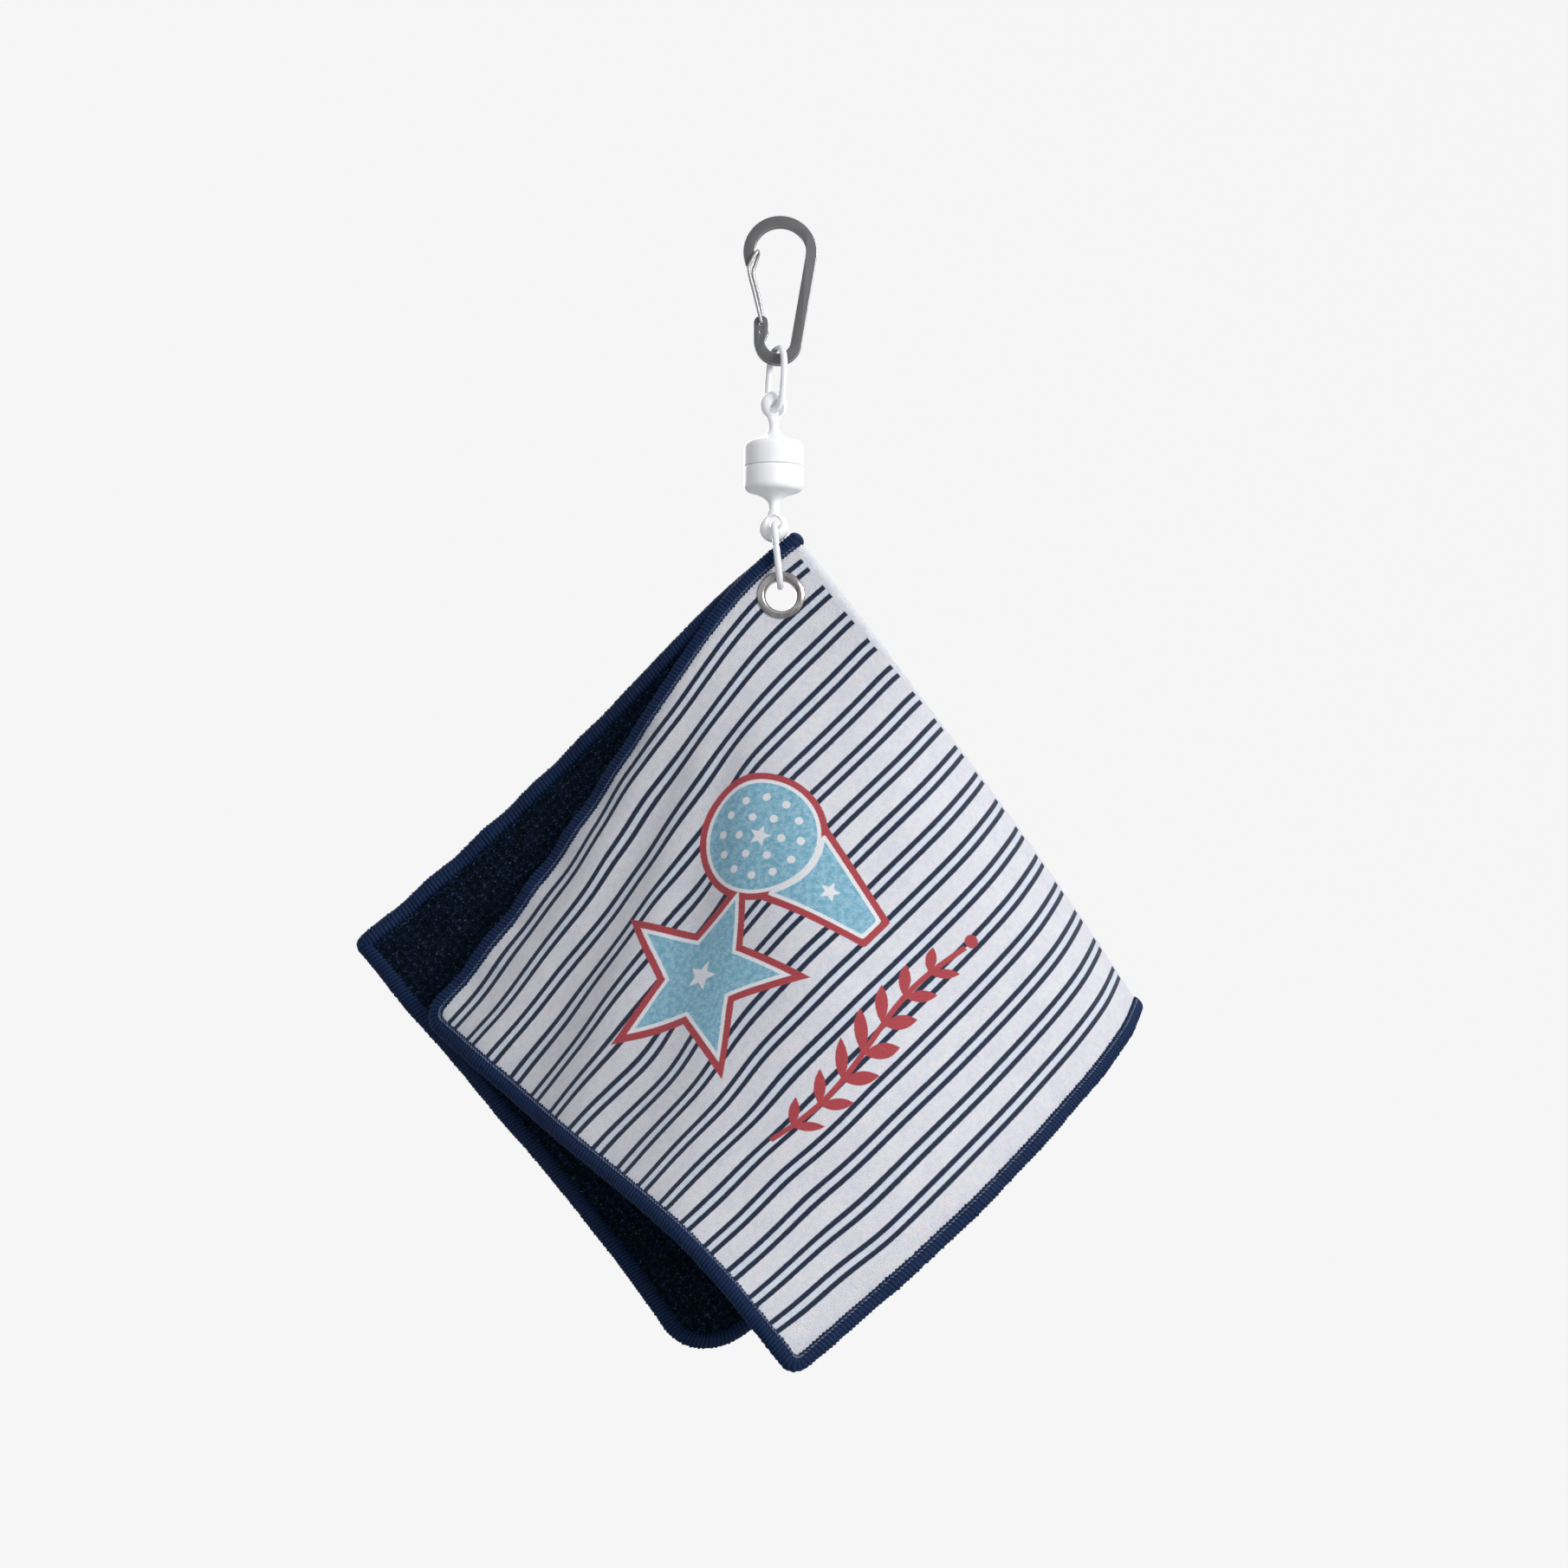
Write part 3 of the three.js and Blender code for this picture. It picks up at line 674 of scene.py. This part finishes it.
def carabiner():
    (top_x, top_z), top_radius = TOP_BOW
    (low_x, low_z), low_radius = LOW_BOW
    rise = math.hypot(top_x - low_x, top_z - low_z)
    slant = math.atan2(top_x - low_x, top_z - low_z)
    spine = math.degrees(-math.asin((top_radius - low_radius) / rise) - slant)
    knuckle_side = KNUCKLE[0][0] + KNUCKLE[1]
    outline = arc(TOP_BOW, NOSE_ANGLE, spine, steps=64)
    outline += arc(LOW_BOW, spine, -180)
    outline += arc(KNUCKLE, 180, 0)
    outline += [(knuckle_side, KNUCKLE_LOW)]
    outline += arc(LOW_BOW, -180, spine, BAR_WIDTH)
    outline += arc(TOP_BOW, spine, 180, BAR_WIDTH, 64)
    outline += [NOSE_TIP]
    count = len(outline)
    points = [(x, y, z) for y in (-BAR_DEPTH / 2, BAR_DEPTH / 2) for x, z in outline]
    faces = [list(range(count)), list(range(2 * count - 1, count - 1, -1))]
    faces += [[i, i + count, (i + 1) % count + count, (i + 1) % count] for i in range(count)]
    piece = close_ends(mesh_object("carabiner", points, faces))
    (x, z), _ = KNUCKLE
    cut(piece, drill(x, z, GATE_WIRE + 0.3, -BAR_DEPTH, BAR_DEPTH))
    cut(piece, drill(x, KNUCKLE_LOW, GATE_WIRE, -BAR_DEPTH, 0.5 - BAR_DEPTH / 2))
    rounding = piece.modifiers.new("rounding", "BEVEL")
    rounding.width = 0.38 * MM
    rounding.segments = 3
    rounding.limit_method = "ANGLE"
    rounding.angle_limit = math.radians(50)
    # the rounded edges take the brighter metal, a painted highlight
    rounding.material = 1
    piece.data.materials.append(anodised)
    piece.data.materials.append(painted_edge_highlight)
    apply_modifiers(piece)
    smooth_by_angle(piece, 40)
    settle(piece, "carabiner", "carabiner_body", "anodised")


def gate():
    """One springy wire: in at the front of the pivot, up to the nose, across, and down behind."""
    (x, z), _ = KNUCKLE
    front = [
        (x, -0.5, z), (x, 0.9 - GATE_SIDE, z), (x - 0.15, -GATE_SIDE, z + 0.9),
        (-8.5, -GATE_SIDE, -23.5), (-10.5, -GATE_SIDE, -15.1), (-9.4, -GATE_SIDE, -11.4),
        (-7.9, 0.4 - GATE_SIDE, -8.9), (-7.5, -1.4, -8.3),
    ]
    back = [
        (px + aside, -py, pz - low)
        for (px, py, pz), aside, low in zip(reversed(front), GATE_REAR, GATE_DROP)
    ]
    route = smooth_route(front + back, 9)
    rings, faces = sweep(route, GATE_WIRE)
    piece = close_ends(mesh_object("wire_gate", rings, faces))
    settle(smooth_by_angle(piece, 50), "gate", "gate_wire", "steel", steel)


# ---------- links ----------

def link(name, body, top, top_x, low_x, turn, joined):
    """A long ring of round coated wire, with the fine line where its ends were joined."""
    angles = full_turn(360)
    rise = LINK_HALF_WIDTH * np.sin(angles)
    rise += (LINK_HALF_LENGTH - LINK_HALF_WIDTH) * np.tanh(2.2 * np.sin(angles)) / math.tanh(2.2)
    route = stacked(LINK_HALF_WIDTH * np.cos(angles), 0.0, rise)
    from_joint = np.abs(np.angle(np.exp(1j * (angles - math.radians(joined)))))
    radius = LINK_WIRE * (1 - 0.22 * np.exp(-(from_joint / 0.025) ** 2))
    rings, faces = sweep(route, radius, 24, closed=True)
    lean = math.degrees(math.asin((top_x - low_x) / (2 * LINK_HALF_LENGTH)))
    place = turned(turned(rings, "Z", -turn), "Y", lean)
    place += ((top_x + low_x) / 2, 0, top - LINK_HALF_LENGTH)
    settle(mesh_object(name + "_ring", place, faces), body, name, "coated", coated)


# ---------- magnetic coupling ----------

def coupling_half(prefix, flip, eye_turn):
    """One half standing on the seam: pocket, barrel, shoulder, waisted neck and flattened knob."""
    face, lip, bevel, sides = 0.08, 0.22, 0.4, 96
    pocket = [
        (0.02, POCKET_DEPTH), (POCKET - bevel, POCKET_DEPTH), (POCKET, POCKET_DEPTH - bevel),
        (POCKET, face + lip), (POCKET + lip, face),
    ]
    rim = arc(((BARREL - lip, face + lip), lip), -90, 0, steps=5)
    shoulder = arc(((BARREL - SHOULDER, BARREL_HEIGHT - SHOULDER), SHOULDER), 0, 80, steps=12)
    flare = []
    for u in np.linspace(0.12, 1, 16):
        radius = NECK + (BARREL - SHOULDER - NECK) * (1 - u) ** 2.6
        flare.append((radius, BARREL_HEIGHT + 5.2 * u))
    rounds = [(radius, radius, height) for radius, height in pocket + rim + shoulder + flare]
    knob = []
    for angle in np.radians(np.linspace(-58, 89, 26)):
        reach = KNOB * math.cos(angle)
        knob.append((reach, max(reach * KNOB_DEPTH, 0.02), KNOB_REACH + KNOB * math.sin(angle)))
    wide, deep, high = knob[0]
    low = flare[-1][1]
    blend = []
    for u in (0.35, 0.65, 0.85):
        ease = u * u
        blend.append((NECK + (wide - NECK) * ease, NECK + (deep - NECK) * ease, low + (high - low) * u))
    sections = rounds + blend + knob
    around = full_turn(sides)
    rings = [stacked(rx * np.cos(around), ry * np.sin(around), height) for rx, ry, height in sections]
    faces = quads(len(sections), sides, close_columns=True)
    piece = close_ends(mesh_object(prefix + "_half", turned(rings, "Z", eye_turn), faces))
    mouth = KNOB * KNOB_DEPTH + 0.4
    flare_out = [(EYE + (EYE_MOUTH + 0.3 - EYE) * (abs(u) ** 2.2), mouth * u) for u in np.linspace(-1, 1, 21)]
    hole_rings, hole_faces = revolve(flare_out, 48)
    hole = turned(turned(hole_rings, "X", 90) + (0, 0, EYE_REACH), "Z", eye_turn)
    cut(piece, close_ends(mesh_object("tool", hole, hole_faces)))
    smooth_by_angle(piece, 34)
    place_on_seam(piece, flip)
    settle(piece, prefix + "_coupling", prefix + "_coupling_housing", "plastic", plastic)


def place_on_seam(piece, flip):
    turn = Matrix.Rotation(PI if flip else 0.0, 4, "X")
    piece.data.transform(Matrix.Translation(Vector((COUPLING_X, 0, SEAM)) * MM) @ turn)


def turned_piece(profile, closed=False):
    """A turned piece. Its flat coordinates are the way round and the way along its profile."""
    sides = 128
    rings, faces = revolve(profile, sides, closed)
    along = np.concatenate([[0], np.cumsum(np.hypot(*np.diff(np.array(profile), axis=0).T))])
    return rings, faces, stacked(np.arange(sides)[None] / sides, along[:, None] / SIDE)


def magnet(prefix, flip):
    bottom, edge = 0.3, 0.35
    top = bottom + MAGNET_HEIGHT
    profile = [
        (0.02, bottom), (MAGNET - 3, bottom), (MAGNET - edge, bottom), (MAGNET, bottom + edge),
        (MAGNET, top - edge), (MAGNET - edge, top), (0.02, top),
    ]
    rings, faces, flat = turned_piece(profile)
    piece = close_ends(mesh_object(prefix + "_magnet_disc", rings, faces, flat))
    smooth_by_angle(piece, 30)
    place_on_seam(piece, flip)
    settle(piece, prefix + "_coupling", prefix + "_magnet", "magnet", magnet_plate)


# ---------- hanging cloth ----------

def layer_shape(edge, bulge, skew, crest):
    """Depth angle of the cone at each angle from the fold, and how far it narrows as seen from the front."""
    def depth(angle, ridge):
        u = angle / 90
        return FOLD_DEPTH * (1 - u) + edge * u - bulge * ridge(u) + skew * np.sin(2 * PI * u)

    def round_ridge(u):
        return np.sin(PI * u)

    def crisp_ridge(u):
        return 1 - (np.sqrt((u - 0.5) ** 2 + crest**2) - crest) / (math.hypot(0.5, crest) - crest)

    step = 0.5
    angles = np.arange(181) * step
    slope = np.diff(depth(angles, round_ridge)) / step
    lean = np.radians(depth(angles[:-1] + step / 2, round_ridge))
    rate = np.sqrt(np.maximum(1 - slope**2, 0.02)) / np.cos(lean)
    narrowing = np.concatenate([[0], np.cumsum((1 - rate) * step)])
    return lambda angle: depth(angle, crisp_ridge), angles, narrowing


LAYERS = {1: layer_shape(**FRONT_LAYER), -1: layer_shape(**REAR_LAYER)}


def eased(value, start, end):
    u = np.clip((value - start) / (end - start), 0, 1)
    return u * u * (3 - 2 * u)


def surface(side, s, t):
    """Middle surface of a layer: side is 1 in front and -1 behind, s from the fold, t down from the top."""
    depth_at, angles, narrowing = LAYERS[side]
    r = np.hypot(s, t) + 1e-6
    angle = np.clip(np.degrees(np.arctan2(s, t)), 0, 90)
    gathered = r**2 / (r**2 + GATHER_RADIUS**2)
    settled = eased(r, FLAT_RADIUS, FULL_RADIUS)
    out = (r / SIDE) ** 2
    middle = np.sin(np.radians(2 * angle))
    depth = settled * np.radians(depth_at(angle - RIDGE_DRIFT * middle * out))
    turn = FOLD_ANGLE - FOLD_BEND * out - angle + gathered * np.interp(angle, angles, narrowing)
    r = r * (1 + OPEN_STRETCH * eased(angle, 45, 90) * out)
    if side > 0:
        sag = middle**2 * out / 2
        turn = turn - BIAS_TURN * sag
        r = r * (1 + BIAS_STRETCH * sag)
    way = np.radians(turn)
    x, y, z = r * np.sin(way) * np.cos(depth), r * np.sin(depth), -r * np.cos(way) * np.cos(depth)
    lean = settled * math.radians(LEAN)
    y, z = y * np.cos(lean) - z * np.sin(lean), y * np.sin(lean) + z * np.cos(lean)
    return stacked(x, y, z) + TIP


def unit(vectors):
    return vectors / np.linalg.norm(vectors, axis=-1, keepdims=True)


def surface_frame(side, s, t):
    reach = 0.5
    across = unit(surface(side, s + reach, t) - surface(side, np.maximum(s - reach, 0), t))
    along = surface(side, s, t + reach) - surface(side, s, np.maximum(t - reach, 0))
    return across, unit(np.cross(across, along)) * side


def ripple(s, t):
    """Small creases that spread from the grommet, and the slack of the stitched edges."""
    r = np.hypot(s, t)
    angle = np.arctan2(s, t)
    free = eased(s, 4, 45) * eased(r, 40, 130)
    creases = 1.1 * np.sin(27 * angle + 0.8) * eased(angle, 0.75, 1.25) + 0.8 * np.sin(13 * angle + r / 38)

    def slack(size, inward, along, wave, start):
        return size * np.exp(-inward / SLACK_REACH) * np.sin(2 * PI * along / wave + start)

    top = slack(0.8, t, s, 23, 0)
    side = slack(0.5, np.abs(SIDE - s), t, 27, 1)
    low = slack(0.4, np.abs(SIDE - t), s, 31, 2)
    return free * (creases + top + side + low)


def rolled(v, t, height):
    """The tight turn at the fold, where cloth goes from the front layer to the rear one."""
    zero = np.zeros_like(t)
    front_across, front_out = surface_frame(1, zero, t)
    rear_across, rear_out = surface_frame(-1, zero, t)
    edge = -unit(front_across + rear_across)
    outward = np.where((v >= 0)[..., None], front_out, rear_out)
    share = (np.abs(v) / ROLL)[..., None]
    whole = np.arccos(np.clip((edge * outward).sum(-1, keepdims=True), -1, 1))
    way = (np.sin((1 - share) * whole) * edge + np.sin(share * whole) * outward) / np.sin(whole)
    return surface(1, zero, t) + way * height[..., None]


def cloth(v, t, height):
    """Points of the folded towel: v across the fold and negative behind it, height outward."""
    v, t, height = np.broadcast_arrays(np.asarray(v, float), np.asarray(t, float), np.asarray(height, float))
    points = rolled(np.clip(v, -ROLL, ROLL), t, height)
    for side in (1, -1):
        past = np.maximum(side * v - ROLL, 0)
        _, outward = surface_frame(side, past, t)
        laid = surface(side, past, t) + outward * (height + side * ripple(past, t))[..., None]
        points = np.where((side * v >= ROLL)[..., None], laid, points)
    return points


def stations(low, high, spacing):
    return np.linspace(low, high, int(round(abs(high - low) / spacing)) + 1)


def round_corners(v, t, corners):
    """Pulls the outer corners of a square ply in to their round outline."""
    v, t = np.broadcast_arrays(v, t)
    reach, down = np.abs(v), t
    top, bottom = corners
    for radius, centre, way in ((top, top, -1), (bottom, SIDE - bottom, 1)):
        aside, past = reach - (SIDE - radius), way * (down - centre)
        here = (aside > 0) & (past > 0)
        pull = np.where(here, np.maximum(aside, past) / np.maximum(np.hypot(aside, past), 1e-6), 1)
        reach = np.where(here, SIDE - radius + aside * pull, reach)
        down = np.where(here, centre + way * past * pull, down)
    return np.sign(v) * reach, down


def printed_half(name, v0, v1, corners):
    """The printed ply of one half: a thin closed sheet with a soft face."""
    v, t = round_corners(stations(v0, v1, 1.1)[:, None], stations(HEM_INSET, SIDE - HEM_INSET, 1.1), corners)
    outer = cloth(v, t, PRINT_HIGH)
    inner = cloth(v, t, PRINT_LOW)
    rows, columns = outer.shape[:2]
    count = rows * columns
    face = quads(rows, columns)
    ring = np.concatenate([
        np.arange(columns),
        np.arange(1, rows) * columns + columns - 1,
        (rows - 1) * columns + np.arange(columns - 2, -1, -1),
        np.arange(rows - 2, 0, -1) * columns,
    ])
    wall = stacked(ring, ring + count, np.roll(ring, -1) + count, np.roll(ring, -1))
    faces = np.concatenate([face, face[:, ::-1] + count, wall])
    flat = stacked(v / SIDE, t / SIDE).reshape(-1, 2)
    points = np.concatenate([outer.reshape(-1, 3), inner.reshape(-1, 3)])
    return punch(mesh_object(name, points, faces, np.concatenate([flat, flat])))


def punch(piece):
    """Opens the grommet's hole: takes away the cloth inside its barrel."""
    centre = Vector((GROMMET[0], 0, GROMMET[1])) * MM
    reach = (GROMMET_BARREL + 0.2) * MM
    with editing(piece) as solid:
        inside = [
            vertex for vertex in solid.verts
            if math.hypot(vertex.co.x - centre.x, vertex.co.z - centre.z) < reach
        ]
        bmesh.ops.delete(solid, geom=inside, context="VERTS")
        bmesh.ops.recalc_face_normals(solid, faces=solid.faces)
    return piece


def waffle_half(name, v0, v1, corners):
    """The waffle-knit ply of one half: sunk square cells between raised ribs, in real relief."""
    spacing = WAFFLE_CELL / 4
    v = (np.arange(math.ceil(v0 / spacing), math.floor(v1 / spacing) + 1) * spacing)[:, None]
    t = np.arange(math.ceil(HEM_INSET / spacing), math.floor((SIDE - HEM_INSET) / spacing) + 1) * spacing
    v, t = round_corners(v, t, corners)
    rib = np.maximum(np.cos(2 * PI * v / WAFFLE_CELL), np.cos(2 * PI * t / WAFFLE_CELL))
    chance = np.random.default_rng(7)
    loose = chance.normal(0, 0.07, rib.shape)
    height = WAFFLE_HIGH - (WAFFLE_HIGH - WAFFLE_LOW) * (0.5 + 0.5 * rib) + loose
    points = cloth(v, t, np.clip(height, WAFFLE_LOW - 0.1, WAFFLE_HIGH + 0.05))
    return punch(mesh_object(name, points, quads(*points.shape[:2]), stacked(v / SIDE, t / SIDE)))


# ---------- hems ----------

def hem_line(start, corners, spacing):
    """The hem's middle line in the flat cloth, and the direction out of the cloth at each point."""
    middle = HEM_WIDTH / 2
    low, high = middle, SIDE - middle
    first, second = (radius - middle for radius in corners)
    first_bend = np.linspace(0, PI / 2, int(first / spacing * PI / 2) + 5)[1:-1]
    second_bend = np.linspace(0, PI / 2, int(second / spacing * PI / 2) + 5)[1:-1]
    line = [(v, low) for v in stations(start, high - first, spacing)]
    line += [(high - first + first * math.sin(a), low + first - first * math.cos(a)) for a in first_bend]
    line += [(high, t) for t in stations(low + first, high - second, spacing)]
    inner = high - second
    line += [(inner + second * math.cos(a), inner + second * math.sin(a)) for a in second_bend]
    line += [(v, high) for v in stations(start, high - second, spacing)[::-1]]
    line = np.array(line)
    along = np.gradient(line, axis=0)
    along /= np.linalg.norm(along, axis=1)[:, None]
    return line, stacked(along[:, 1], -along[:, 0])


def hem_bead(name, start, side, corners):
    """Close overlock stitches: a rounded bead, ribbed where each thread wraps round the edge."""
    line, outward = hem_line(start, corners, THREAD_PITCH / 7)
    steps = np.hypot(*np.diff(line, axis=0).T)
    length = np.concatenate([[0], np.cumsum(steps)])
    around = full_turn(18)
    lie = length[:, None] / THREAD_PITCH + THREAD_SLANT * around / (2 * PI)
    chance = np.random.default_rng(3)
    thread_size = chance.normal(0, 0.035, int(length[-1] / THREAD_PITCH) + 4)
    crest = np.abs(np.sin(PI * lie)) ** 0.7
    grow = 0.82 + 0.19 * crest + thread_size[np.floor(lie).astype(int)] * crest
    across = grow * np.cos(around) * HEM_WIDTH / 2
    over = grow * np.sin(around) * HEM_HEIGHT / 2
    v = side * (line[:, :1] + outward[:, :1] * across)
    t = line[:, 1:] + outward[:, 1:] * across
    points = cloth(v, np.maximum(t, 0.02), HEM_MIDDLE + over)
    flat = stacked(length[:, None] / SIDE, around / (2 * PI))
    return close_ends(mesh_object(name, points, quads(*points.shape[:2], close_columns=True), flat))


def hem_chain(name, start, side, corners):
    """The small loops that lock the overlock threads, along the bead's inner shoulder."""
    line, outward = hem_line(start, corners, THREAD_PITCH)
    chance = np.random.default_rng(11)
    bead = np.radians(np.linspace(-90, 90, 7))
    ring = full_turn(7)
    loop_half, loop_wire = 0.7, 0.3
    inward = 0.62  # of the bead's half width
    perch = HEM_MIDDLE + HEM_HEIGHT / 2 * math.sqrt(1 - inward**2) + 0.05
    points, faces, flat = [], [], []
    loop_faces = quads(len(bead), len(ring), close_columns=True)
    for k, (place, out) in enumerate(zip(line, outward)):
        along = np.array([-out[1], out[0]])
        tilt = chance.normal(0.5, 0.12)
        way = unit(along * math.cos(tilt) + out * math.sin(tilt))
        aside = np.array([-way[1], way[0]])
        size = chance.normal(1.0, 0.1)
        reach = loop_half * size * np.sin(bead)[:, None]
        round_it = loop_wire * size * np.cos(bead)[:, None]
        spot = place - out * inward * HEM_WIDTH / 2
        v = spot[0] + way[0] * reach + aside[0] * round_it * np.cos(ring)
        t = spot[1] + way[1] * reach + aside[1] * round_it * np.cos(ring)
        height = perch + round_it * np.sin(ring)
        points.append(cloth(side * v, t, height).reshape(-1, 3))
        faces.append(loop_faces + k * len(bead) * len(ring))
        flat.append(stacked(k * THREAD_PITCH / SIDE + reach / SIDE, ring / (2 * PI)).reshape(-1, 2))
    return mesh_object(name, np.concatenate(points), np.concatenate(faces), np.concatenate(flat))


# ---------- grommet ----------

def grommet():
    """A rolled eyelet from the front, and the washer it is crimped over behind."""
    edge = [(BORE, 0.6), (BORE, -1.4), (BORE + 0.12, -2.05), (BORE + 0.4, -2.55), (BORE + 0.85, -2.85)]
    edge += [(BORE + 1.35, -2.92), (BORE + 1.9, -2.78), (FLANGE - 0.35, -2.42), (FLANGE - 0.08, -2.3)]
    edge += [(FLANGE, -2.18), (FLANGE - 0.1, -2.08), (GROMMET_BARREL + 0.4, -2.12), (GROMMET_BARREL, -1.8)]
    edge += [(GROMMET_BARREL, 2.6), (GROMMET_BARREL + 0.3, 2.8), (GROMMET_BARREL + 0.9, 2.86)]
    edge += [(GROMMET_BARREL + 1.02, 3.0), (GROMMET_BARREL + 0.8, 3.2), (GROMMET_BARREL + 0.2, 3.28)]
    edge += [(BORE + 0.35, 3.0), (BORE + 0.08, 2.5), (BORE, 1.9)]
    washer = [(GROMMET_BARREL + 0.35, 2.2), (FLANGE - 0.15, 2.2), (FLANGE, 2.3), (FLANGE - 0.12, 2.42)]
    washer += [(FLANGE - 0.7, 2.6), (GROMMET_BARREL + 0.35, 2.66)]
    turned_pieces = (
        ("eyelet", "grommet_eyelet", edge),
        ("eyelet_washer", "grommet_washer", washer),
    )
    for name, node, profile in turned_pieces:
        rings, faces, flat = turned_piece(profile, closed=True)
        place = turned(rings, "X", 90) * (1, -1, 1) + (GROMMET[0], 0, GROMMET[1])
        piece = face_out(mesh_object(name, place, faces, flat))
        settle(smooth_by_angle(piece, 50), "towel_front", node, "nickel", nickel)


# ---------- camera, stage and light ----------

def camera():
    """A long lens from the front, tipped with the towel's lean about its top corner."""
    distance = 2265.0
    sensor = 36.0
    view_width = 524.9
    look_x, look_z = 1.3, -188.0
    data = bpy.data.cameras.new("camera")
    data.sensor_width = sensor
    data.lens = sensor * distance / view_width
    data.clip_start, data.clip_end = 0.05, 50
    item = add("camera", data)
    lean = Matrix.Rotation(math.radians(LEAN), 4, "X")
    about = Matrix.Translation((0, 0, TIP[2] * MM)) @ lean @ Matrix.Translation((0, 0, -TIP[2] * MM))
    level = Matrix.Translation(Vector((look_x, -distance, look_z)) * MM) @ Matrix.Rotation(PI / 2, 4, "X")
    item.matrix_world = about @ level
    bpy.context.scene.camera = item


def stage():
    """A pale round floor that sweeps up into a pale wall all round; it is seen, and lights nothing."""
    look = Finish(
        "pale_stage", Roughness=0.9, Specular_IOR_Level=0.0, Base_Color=rgb(0.03, 0.03, 0.03),
        Emission_Color=rgb(1.0, 1.0, 1.0), Emission_Strength=0.9)
    floor, bend, room, ceiling = -620.0, 900.0, 4500.0, 5000.0
    profile = [(1.0, floor), (room - bend, floor)]
    profile += [(room - bend + bend * math.sin(a), floor + bend - bend * math.cos(a))
                for a in np.linspace(0, PI / 2, 16)[1:]]
    profile += [(room, ceiling - bend), (room - bend, ceiling), (1.0, ceiling)]
    rings, faces = revolve(profile, 96)
    room_piece = mesh_object("stage", rings, faces)
    room_piece.data.materials.append(look.material)
    room_piece.visible_diffuse = False
    room_piece.visible_glossy = False
    room_piece.visible_shadow = False


def lamp(name, place, target, size, power):
    data = bpy.data.lights.new(name, "AREA")
    data.size = size
    data.energy = power
    item = add(name, data)
    item.location = place
    item.rotation_euler = (Vector(target) - Vector(place)).to_track_quat("-Z", "Y").to_euler()


def light():
    """Soft light from the right, weaker from the left, one lamp for the back, and a pale sky."""
    middle = (0.0, 0.0, -0.2)
    lamp("key", (1.15, -0.95, 0.3), middle, 0.6, 17.0)
    lamp("fill", (-1.3, -1.2, 0.5), middle, 1.2, 1.6)
    lamp("back", (-0.5, 1.5, 0.5), middle, 1.0, 18.0)
    world = bpy.data.worlds.new("studio")
    world.use_nodes = True
    sky = Nodes(world.node_tree)
    around = sky.node("ShaderNodeTexCoord").outputs["Generated"]
    right, _, up = sky.node("ShaderNodeSeparateXYZ", {0: around}).outputs
    background = sky.tree.nodes["Background"]
    sky.put(background.inputs["Color"], rgb(0.95, 0.96, 1.0))
    strength = sky.calc("MULTIPLY_ADD", up, 0.18, sky.calc("MULTIPLY_ADD", right, 0.22, 0.62))
    sky.put(background.inputs["Strength"], strength)
    bpy.context.scene.world = world
    bpy.context.scene.view_settings.view_transform = "Standard"


# ---------- the whole towel ----------

camera()
stage()
light()

carabiner()
gate()
link("upper_link", "upper_link", **UPPER_LINK)
link("lower_link", "lower_link", **LOWER_LINK)
for prefix, flip, eye_turn in (("upper", False, 90 - UPPER_LINK["turn"]), ("lower", True, 0.0)):
    coupling_half(prefix, flip, eye_turn)
    magnet(prefix, flip)
    frame["nodes"][prefix + "_backing_plate"].data.materials[0] = steel
grommet()

fold_hinge = next(joint for joint in frame["joints"] if joint["name"] == "rear_layer_open")
hinge_point, hinge_line = Vector(fold_hinge["pos_m"]), Vector(fold_hinge["axis"]).normalized()
rear_low, rear_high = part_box("rear_printed_ply")
into_rear = (rear_low + rear_high) / 2 - hinge_point
into_rear = (into_rear - hinge_line * into_rear.dot(hinge_line)).normalized()

front_print = printed_half("front_print", MEET, SIDE - HEM_INSET, FRONT_CORNERS)
rear_print = printed_half("rear_print", HEM_INSET - SIDE, MEET, REAR_CORNERS)
front_waffle = waffle_half("front_waffle", MEET, SIDE - HEM_INSET, FRONT_CORNERS)
rear_waffle = waffle_half("rear_waffle", HEM_INSET - SIDE, MEET, REAR_CORNERS)
front_hem = hem_bead("front_edge_stitching", MEET, 1, FRONT_CORNERS)
rear_hem = hem_bead("rear_edge_stitching", -MEET, -1, REAR_CORNERS)
front_chain = hem_chain("front_chain_loops", STRIPE_START, 1, FRONT_CORNERS)
rear_chain = hem_chain("rear_chain_loops", STRIPE_START, -1, REAR_CORNERS)

front_pieces = (
    (front_print, velour, "print", ["front_printed_ply"]),
    (front_waffle, waffle, "waffle", ["front_waffle_ply"]),
    (front_hem, thread, "thread", ["front_hem"]),
    (front_chain, chain_thread, "thread", []),
)
rear_pieces = (
    (rear_print, velour, "print", ["rear_printed_ply", "rear_strip_printed_ply"]),
    (rear_waffle, waffle, "waffle", ["rear_waffle_ply", "rear_strip_waffle_ply"]),
    (rear_hem, thread, "thread", ["rear_hem", "rear_strip_hem_top", "rear_strip_hem_bottom"]),
    (rear_chain, chain_thread, "thread", []),
)
for piece, material, slot, nodes in front_pieces + rear_pieces:
    piece.data.materials.append(material)
    if nodes:
        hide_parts(*nodes)
for piece, *_ in front_pieces:
    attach(piece, "towel_front")
for piece, *_ in rear_pieces:
    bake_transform(piece)
